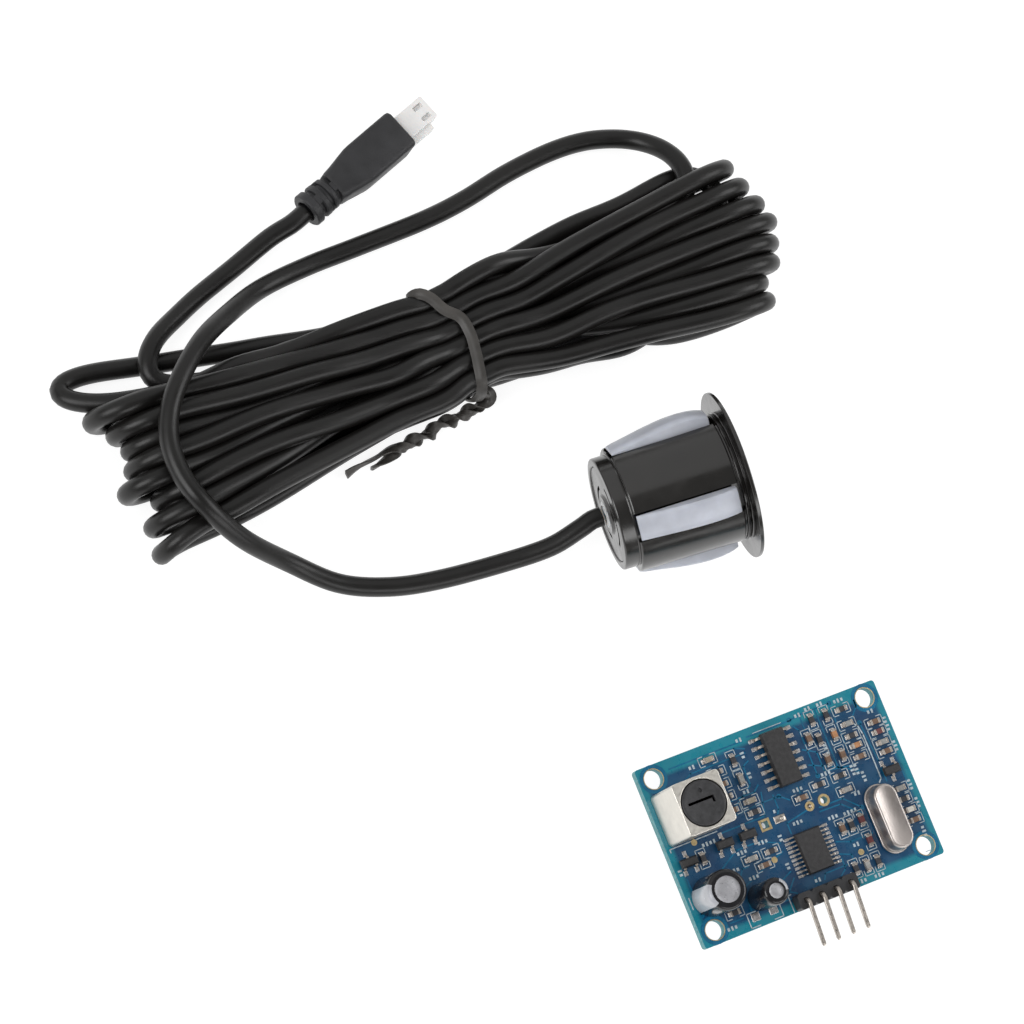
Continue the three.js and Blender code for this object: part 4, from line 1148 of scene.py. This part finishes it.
def make_header():
    block = Builder(BOARD)
    for x in PIN_X:
        block.prism([(x + u, PIN_Y + v) for u, v in chamfered(1.27, 1.25, 0.9, 0.9)], 0.12, 2.62)
    holes = [Builder(BOARD).box((x, PIN_Y, 1.5), (0.7, 0.7, 6)) for x in PIN_X]
    block.make("header_bar", ["header_plastic"], 0.06, 2, 35, replaces=("header_block",), cutters=holes)
    top = 3.32
    for k, x in enumerate(PIN_X):
        knee = [(x, PIN_Y - 0.75 * (1 - math.cos(a)), top - 0.75 * (1 - math.sin(a)))
                for a in (math.radians(d) for d in range(0, 91, 15))]
        tip_y = PIN_Y - 7.3
        line = [(x, PIN_Y, -2.9), (x, PIN_Y, -0.5), (x, PIN_Y, 1.2)] + knee
        line += [(x, PIN_Y - 3.0, top - 0.35), (x, PIN_Y - 5.2, top - 0.7), (x, tip_y + 0.35, top - 0.96),
                 (x, tip_y, top - 1.0)]
        pin = Builder(BOARD)
        section = chamfered(0.3, 0.3, 0.22, 0.22)
        m = len(section)
        pin.sweep(line, section)
        for start in (0, (len(line) - 1) * m):  # both ends are ground to a blunt point
            middle = Vector(line[0] if start == 0 else line[-1])
            for i in range(start, start + m):
                pin.points[i] = tuple(middle + (Vector(pin.points[i]) - middle) * 0.55)
        name = f"header_pin_{k + 1}"
        pin.make(f"{name}_bar", ["tinned_metal"], smooth=25, replaces=(name,))
        cone = Builder(BOARD)
        cone.lathe([(0.3, -2.3), (0.42, -2.28), (0.6, -2.0), (0.95, -1.72), (1.0, -1.62), (0.3, -1.62)],
                   28, 0, (x, PIN_Y))
        cone.make(f"pin_solder_{k + 1}", ["solder"], smooth=60)


TRACES = [  # routed runs that show through the mask: points in the board's frame
    [(-15.4, 12.6), (-3.0, 12.6)], [(-3.2, 10.8), (-12.5, 10.8), (-14.2, 9.9)],
    [(-3.2, 9.5), (-4.3, 9.0), (-4.3, 6.0), (-11.4, 1.6)], [(-3.2, 5.6), (-4.2, 4.8), (-9.6, 4.8)],
    [(-3.2, 4.4), (-4.0, 0.9), (-11.6, 0.9)], [(-11.8, 2.3), (-4.0, 2.9), (-0.8, 2.9), (0.6, 1.8)],
    [(-2.0, 12.9), (5.4, 12.9), (7.4, 13.2), (12.5, 13.2)], [(5.6, 11.9), (6.3, 11.0), (6.3, 3.6)],
    [(5.6, 8.1), (7.6, 7.0), (7.6, 3.9), (12.2, 3.2)], [(5.6, 5.6), (9.8, 3.8), (12.6, 2.2)],
    [(4.6, -0.9), (8.6, -0.9), (11.0, -3.2)], [(4.4, -1.5), (8.0, -1.6), (10.9, -4.2)],
    [(-3.4, -3.7), (-6.6, -2.3), (-10.4, -2.3), (-14.4, -4.6)], [(-3.6, -5.0), (-9.8, -7.2), (-12.6, -8.4)],
    [(-3.6, -8.2), (-6.2, -9.3), (-7.2, -11.9), (-3.9, -12.1)], [(-3.5, -9.3), (-5.0, -10.9), (-3.9, -11.6)],
    [(4.8, -8.5), (6.5, -9.2), (6.5, -10.2)], [(4.8, -9.2), (4.8, -10.8), (3.7, -11.6)],
    [(5.0, -6.6), (7.2, -7.4), (11.0, -7.4)], [(-19.3, -3.6), (-19.3, -9.4)],
    [(-15.6, -12.0), (-13.4, -12.0)], [(16.4, -0.9), (16.4, 2.4), (15.9, 8.8)],
    [(19.4, -9.0), (19.4, 2.6)], [(15.0, 9.8), (16.4, 11.3), (16.4, 12.3)],
    [(-6.7, 12.0), (-4.6, 12.0), (-3.0, 11.4)], [(-14.6, -6.6), (-11.6, -6.6), (-10.6, -5.2), (-9.6, -5.2)],
    [(-11.6, -9.7), (-11.8, -12.4)], [(1.0, -11.2), (1.4, -10.4), (5.4, -10.4)], [(2.6, 3.2), (2.6, 2.2)],
    [(-1.6, 3.4), (-1.6, 1.1), (-2.0, 0.5)], [(12.4, 6.4), (12.4, 12.6)], [(9.9, 13.0), (9.9, 3.6)],
    [(-1.2, -3.0), (-1.2, -1.3), (2.6, -0.6)], [(7.2, 12.9), (7.2, 10.8)], [(-0.4, -10.2), (-0.4, -11.4)],
]
VIAS = [(-16.1, 1.1), (-5.3, -5.7), (8.1, -9.4), (-11.9, 2.3), (-14.4, -4.6), (11.0, -3.2), (12.6, 2.2),
        (-11.8, -12.4), (6.3, 3.6), (-0.8, 2.9), (15.9, 8.8), (5.4, 13.0), (-19.3, -9.4), (12.5, 13.2)]


def make_traces():
    work = Print(0.004, 0.02)
    for run in TRACES:
        work.ribbon(run, 0.22)
    for x, y in VIAS[3:]:
        work.ring(x, y, 0.16, 0.38)
    for x, y in HOLE_PLACES:
        work.ring(x, y, 1.52, 2.2)
    work.make("board_traces", ["board_trace"])


def make_print():
    ink = Print(0.03, 0.02)
    for x, y, upright, _ in CHIPS:
        ink.brackets(x, y, 2.95, 1.5, upright, 0.12)
    ink.ribbon([(-20.1, 1.4), (-12.1, 1.4)], 0.16).ribbon([(-20.1, 1.4), (-20.1, 0.9)], 0.16)
    ink.ribbon([(-5.5, -11.4), (-5.5, -14.1)], 0.16).ribbon([(-5.5, -11.4), (-5.0, -11.4)], 0.16)
    ink.ribbon([(5.3, -11.7), (5.3, -14.1)], 0.16)
    ink.ribbon([(15.4, 8.5), (15.7, 7.0), (15.7, -0.2), (15.2, -0.7)], 0.2)
    ink.ribbon([(15.4, 8.5), (14.9, 9.0)], 0.2).ribbon([(-0.9, 13.1), (4.0, 13.1)], 0.13)
    ink.brackets(-10.0, -12.8, 5.5, 2.2, 0)
    ink.ribbon([(17.9, -13.0), (18.6, -13.0)], 0.16).ribbon([(-20.2, -6.3), (-20.2, -8.1)], 0.16)
    notes = [
        (-12.0, 11.6, 2, 0), (-3.4, 12.9, 2, 0), (-3.7, 10.6, 2, 1), (-3.9, 7.4, 2, 1), (-5.4, 5.3, 2, 0),
        (2.4, 2.8, 3, 0), (6.9, 13.2, 2, 0), (8.8, 13.6, 2, 0), (10.9, 13.6, 2, 0), (14.0, 13.1, 3, 0),
        (9.2, 6.9, 3, 1), (7.6, 3.5, 3, 0), (11.9, 2.5, 3, 1), (13.2, 1.0, 3, 1), (12.5, 2.4, 3, 1),
        (18.2, 9.8, 2, 0), (19.9, 7.2, 4, 1), (19.9, 3.6, 3, 1), (19.7, -2.7, 3, 1), (19.7, -5.6, 3, 1),
        (18.9, -10.0, 3, 1), (-14.0, 0.2, 4, 0), (-9.7, -2.9, 3, 0), (-6.0, -2.6, 3, 0), (-3.1, -3.0, 2, 1),
        (-9.4, -7.0, 3, 0), (-3.7, -7.3, 2, 1), (-19.9, -2.4, 2, 1), (6.0, -3.0, 3, 0), (8.9, -3.2, 4, 0),
        (7.8, -8.1, 2, 0), (-15.6, -12.8, 3, 0), (-0.1, -10.9, 2, 0), (6.4, -13.5, 3, 0), (9.4, -13.6, 3, 0),
        (-11.9, -5.0, 3, 0), (0.4, -1.8, 3, 0), (-11.0, 3.0, 1, 0), (11.1, -1.0, 2, 0), (-2.4, 1.0, 1, 0),
    ]
    for x, y, count, upright in notes:
        ink.marks(x, y, count, upright)
    ink.make("board_printing", ["board_print"])


def make_pads():
    plate = Print(0.01, 0.05)
    plate.ring(5.7, -0.1, 0.56, 0.95).ring(3.2, -0.2, 0.35, 0.75)
    x, y = OPEN_PADS[0]  # this pad is a square frame
    for side in (-1, 1):
        plate.patch(x + side * 0.72, y, 0.35, 1.8)
        plate.patch(x, y + side * 0.72, 1.2, 0.35)
    for x, y in VIAS[:3]:
        plate.dot(x, y, 0.48)
    for x, y in HOLE_PLACES:
        plate.ring(x, y, 1.5, 1.62)
    plate.make("gold_pads", ["gold_plate"], 0.0, 2, 40)
    tin = Print(0.01, 0.12)
    for x in (-11.5, -8.5):
        tin.patch(x, -12.5, 1.4, 1.3)
    tin.make("bare_pads", ["solder"], 0.09, 3, 40)
    joints = Builder(BOARD)
    joints.box((-2.0, -0.3, 0.1), (1.9, 1.15, 0.16), 0, 0, 0.15)
    for x, y, r in ((3.2, -0.2, 0.42), (-1.8, -0.3, 0.5)):
        joints.lathe([(0, 0.02), (r, 0.02), (r * 0.9, 0.12), (r * 0.55, 0.3), (r * 0.3, 0.42), (0, 0.45)],
                     28, 0, (x, y))
    joints.make("through_joints", ["tinned_metal"], smooth=60)


def make_underside():
    """Solder joints and a few runs under the board; the socket's own pieces are the frame's."""
    low = -BOARD_SIZE[2]
    joints = Builder(BOARD)
    places = [(-18.0, -7.25), (-15.6, -7.25), (-10.5, -10.1), (-8.9, -10.1), (13.8, -3.8), (13.8, -8.6)]
    places += [(-18.6, 8.2), (-13.6, 8.2), (-18.6, 3.2), (-13.6, 3.2), (-16.1, 8.2)]
    for x, y in places:
        joints.lathe([(0, low - 1.1), (0.3, low - 1.05), (0.4, low - 0.6), (0.75, low - 0.15),
                      (0.85, low - 0.02), (0, low - 0.02)], 24, 0, (x, y))
    joints.make("underside_joints", ["solder"], smooth=60)
    runs = Print(low - 0.024, 0.02)
    for run in TRACES[::2]:
        runs.ribbon([(x, -y) for x, y in run], 0.3)
    for x, y in HOLE_PLACES:
        runs.ring(x, y, 1.52, 2.2)
    runs.make("underside_traces", ["board_trace"])


# ---------- carried-over nodes ----------
KEPT_NODES = {
    "piezo_disc": "piezo_ceramic", "damper_foam": "foam", "potting_compound": "potting",
    "core_wire": "wire_red", "shield_wire": "wire_white",
    "plug_terminal_1": "tinned_metal", "plug_terminal_2": "tinned_metal",
    "transformer_bobbin": "header_plastic", "transformer_winding": "copper", "quartz_blank": "quartz",
    "socket_housing": "nylon", "socket_pin_1": "tinned_metal", "socket_pin_2": "tinned_metal",
}
ROUNDED_NODES = ("socket_housing", "socket_pin_1", "socket_pin_2", "transformer_bobbin")


def finish_kept_nodes():
    for name, material in KEPT_NODES.items():
        node = frame["nodes"][name]
        node.data.materials.clear()
        node.data.materials.append(MATERIALS[material])
        if name in ROUNDED_NODES:
            weld = node.modifiers.new("weld", "WELD")
            weld.merge_threshold = 1e-6
            edge = node.modifiers.new("edges", "BEVEL")
            edge.width = 0.12 * MM
            edge.segments = 2
            edge.limit_method = "ANGLE"


# ---------- stage ----------
def make_stage():
    size = 3.0
    mesh = bpy.data.meshes.new("floor")
    mesh.from_pydata([(x * size, y * size, 0) for x, y in SQUARE], [], [(0, 1, 2, 3)])
    floor = bpy.data.objects.new("floor", mesh)
    bpy.context.scene.collection.objects.link(floor)
    paper = Shader("pale floor", (0.3, 0.3, 0.3), 0.85, Specular_IOR_Level=0.0)
    paper.mottle(90, 0.01)
    paper.set("Emission Color", (1, 1, 1, 1))
    paper.set("Emission Strength", 0.86)
    mesh.materials.append(paper.material)


def add_light(name, place, target, size, power):
    lamp = bpy.data.lights.new(name, "AREA")
    lamp.shape = "RECTANGLE"
    lamp.size, lamp.size_y = size
    lamp.energy = power
    light = bpy.data.objects.new(name, lamp)
    light.location = place
    light.rotation_euler = (Vector(target) - Vector(place)).to_track_quat("-Z", "Y").to_euler()
    bpy.context.scene.collection.objects.link(light)


def light_scene():
    world = bpy.data.worlds.new("studio")
    bpy.context.scene.world = world
    world.use_nodes = True
    world.node_tree.nodes["Background"].inputs["Color"].default_value = (1, 1, 1, 1)
    world.node_tree.nodes["Background"].inputs["Strength"].default_value = 0.22
    add_light("back_panel", (0.1, 0.8, 0.75), (0, 0.03, 0), (2.6, 1.6), 6.0)
    add_light("left_panel", (-0.7, 0.05, 0.6), (0, 0.03, 0), (0.5, 0.7), 4.2)
    add_light("right_panel", (0.75, -0.15, 0.6), (0, 0.0, 0), (0.6, 0.6), 3.4)
    add_light("front_panel", (0.1, -0.8, 0.5), (0, 0.0, 0), (0.9, 0.4), 3.0)
    bpy.context.scene.view_settings.view_transform = "Standard"


make_camera()
plug_pieces = make_plug()
make_cord()
for make in (make_twist_tie, make_probe_housing, make_rear_cap, make_sealant, make_strips, make_transducer,
             make_board, make_traces, make_print, make_pads, make_underside, make_chips, make_packages,
             make_transformer, make_crystal):
    make()
make_electrolytic("large_capacitor", -16.8, -7.25, 3.1, 7.8, 2.0, 180)
make_electrolytic("small_capacitor", -9.7, -10.1, 2.05, 7.6, 1.15, 20)
for make in (make_header, finish_kept_nodes, make_stage, light_scene):
    make()
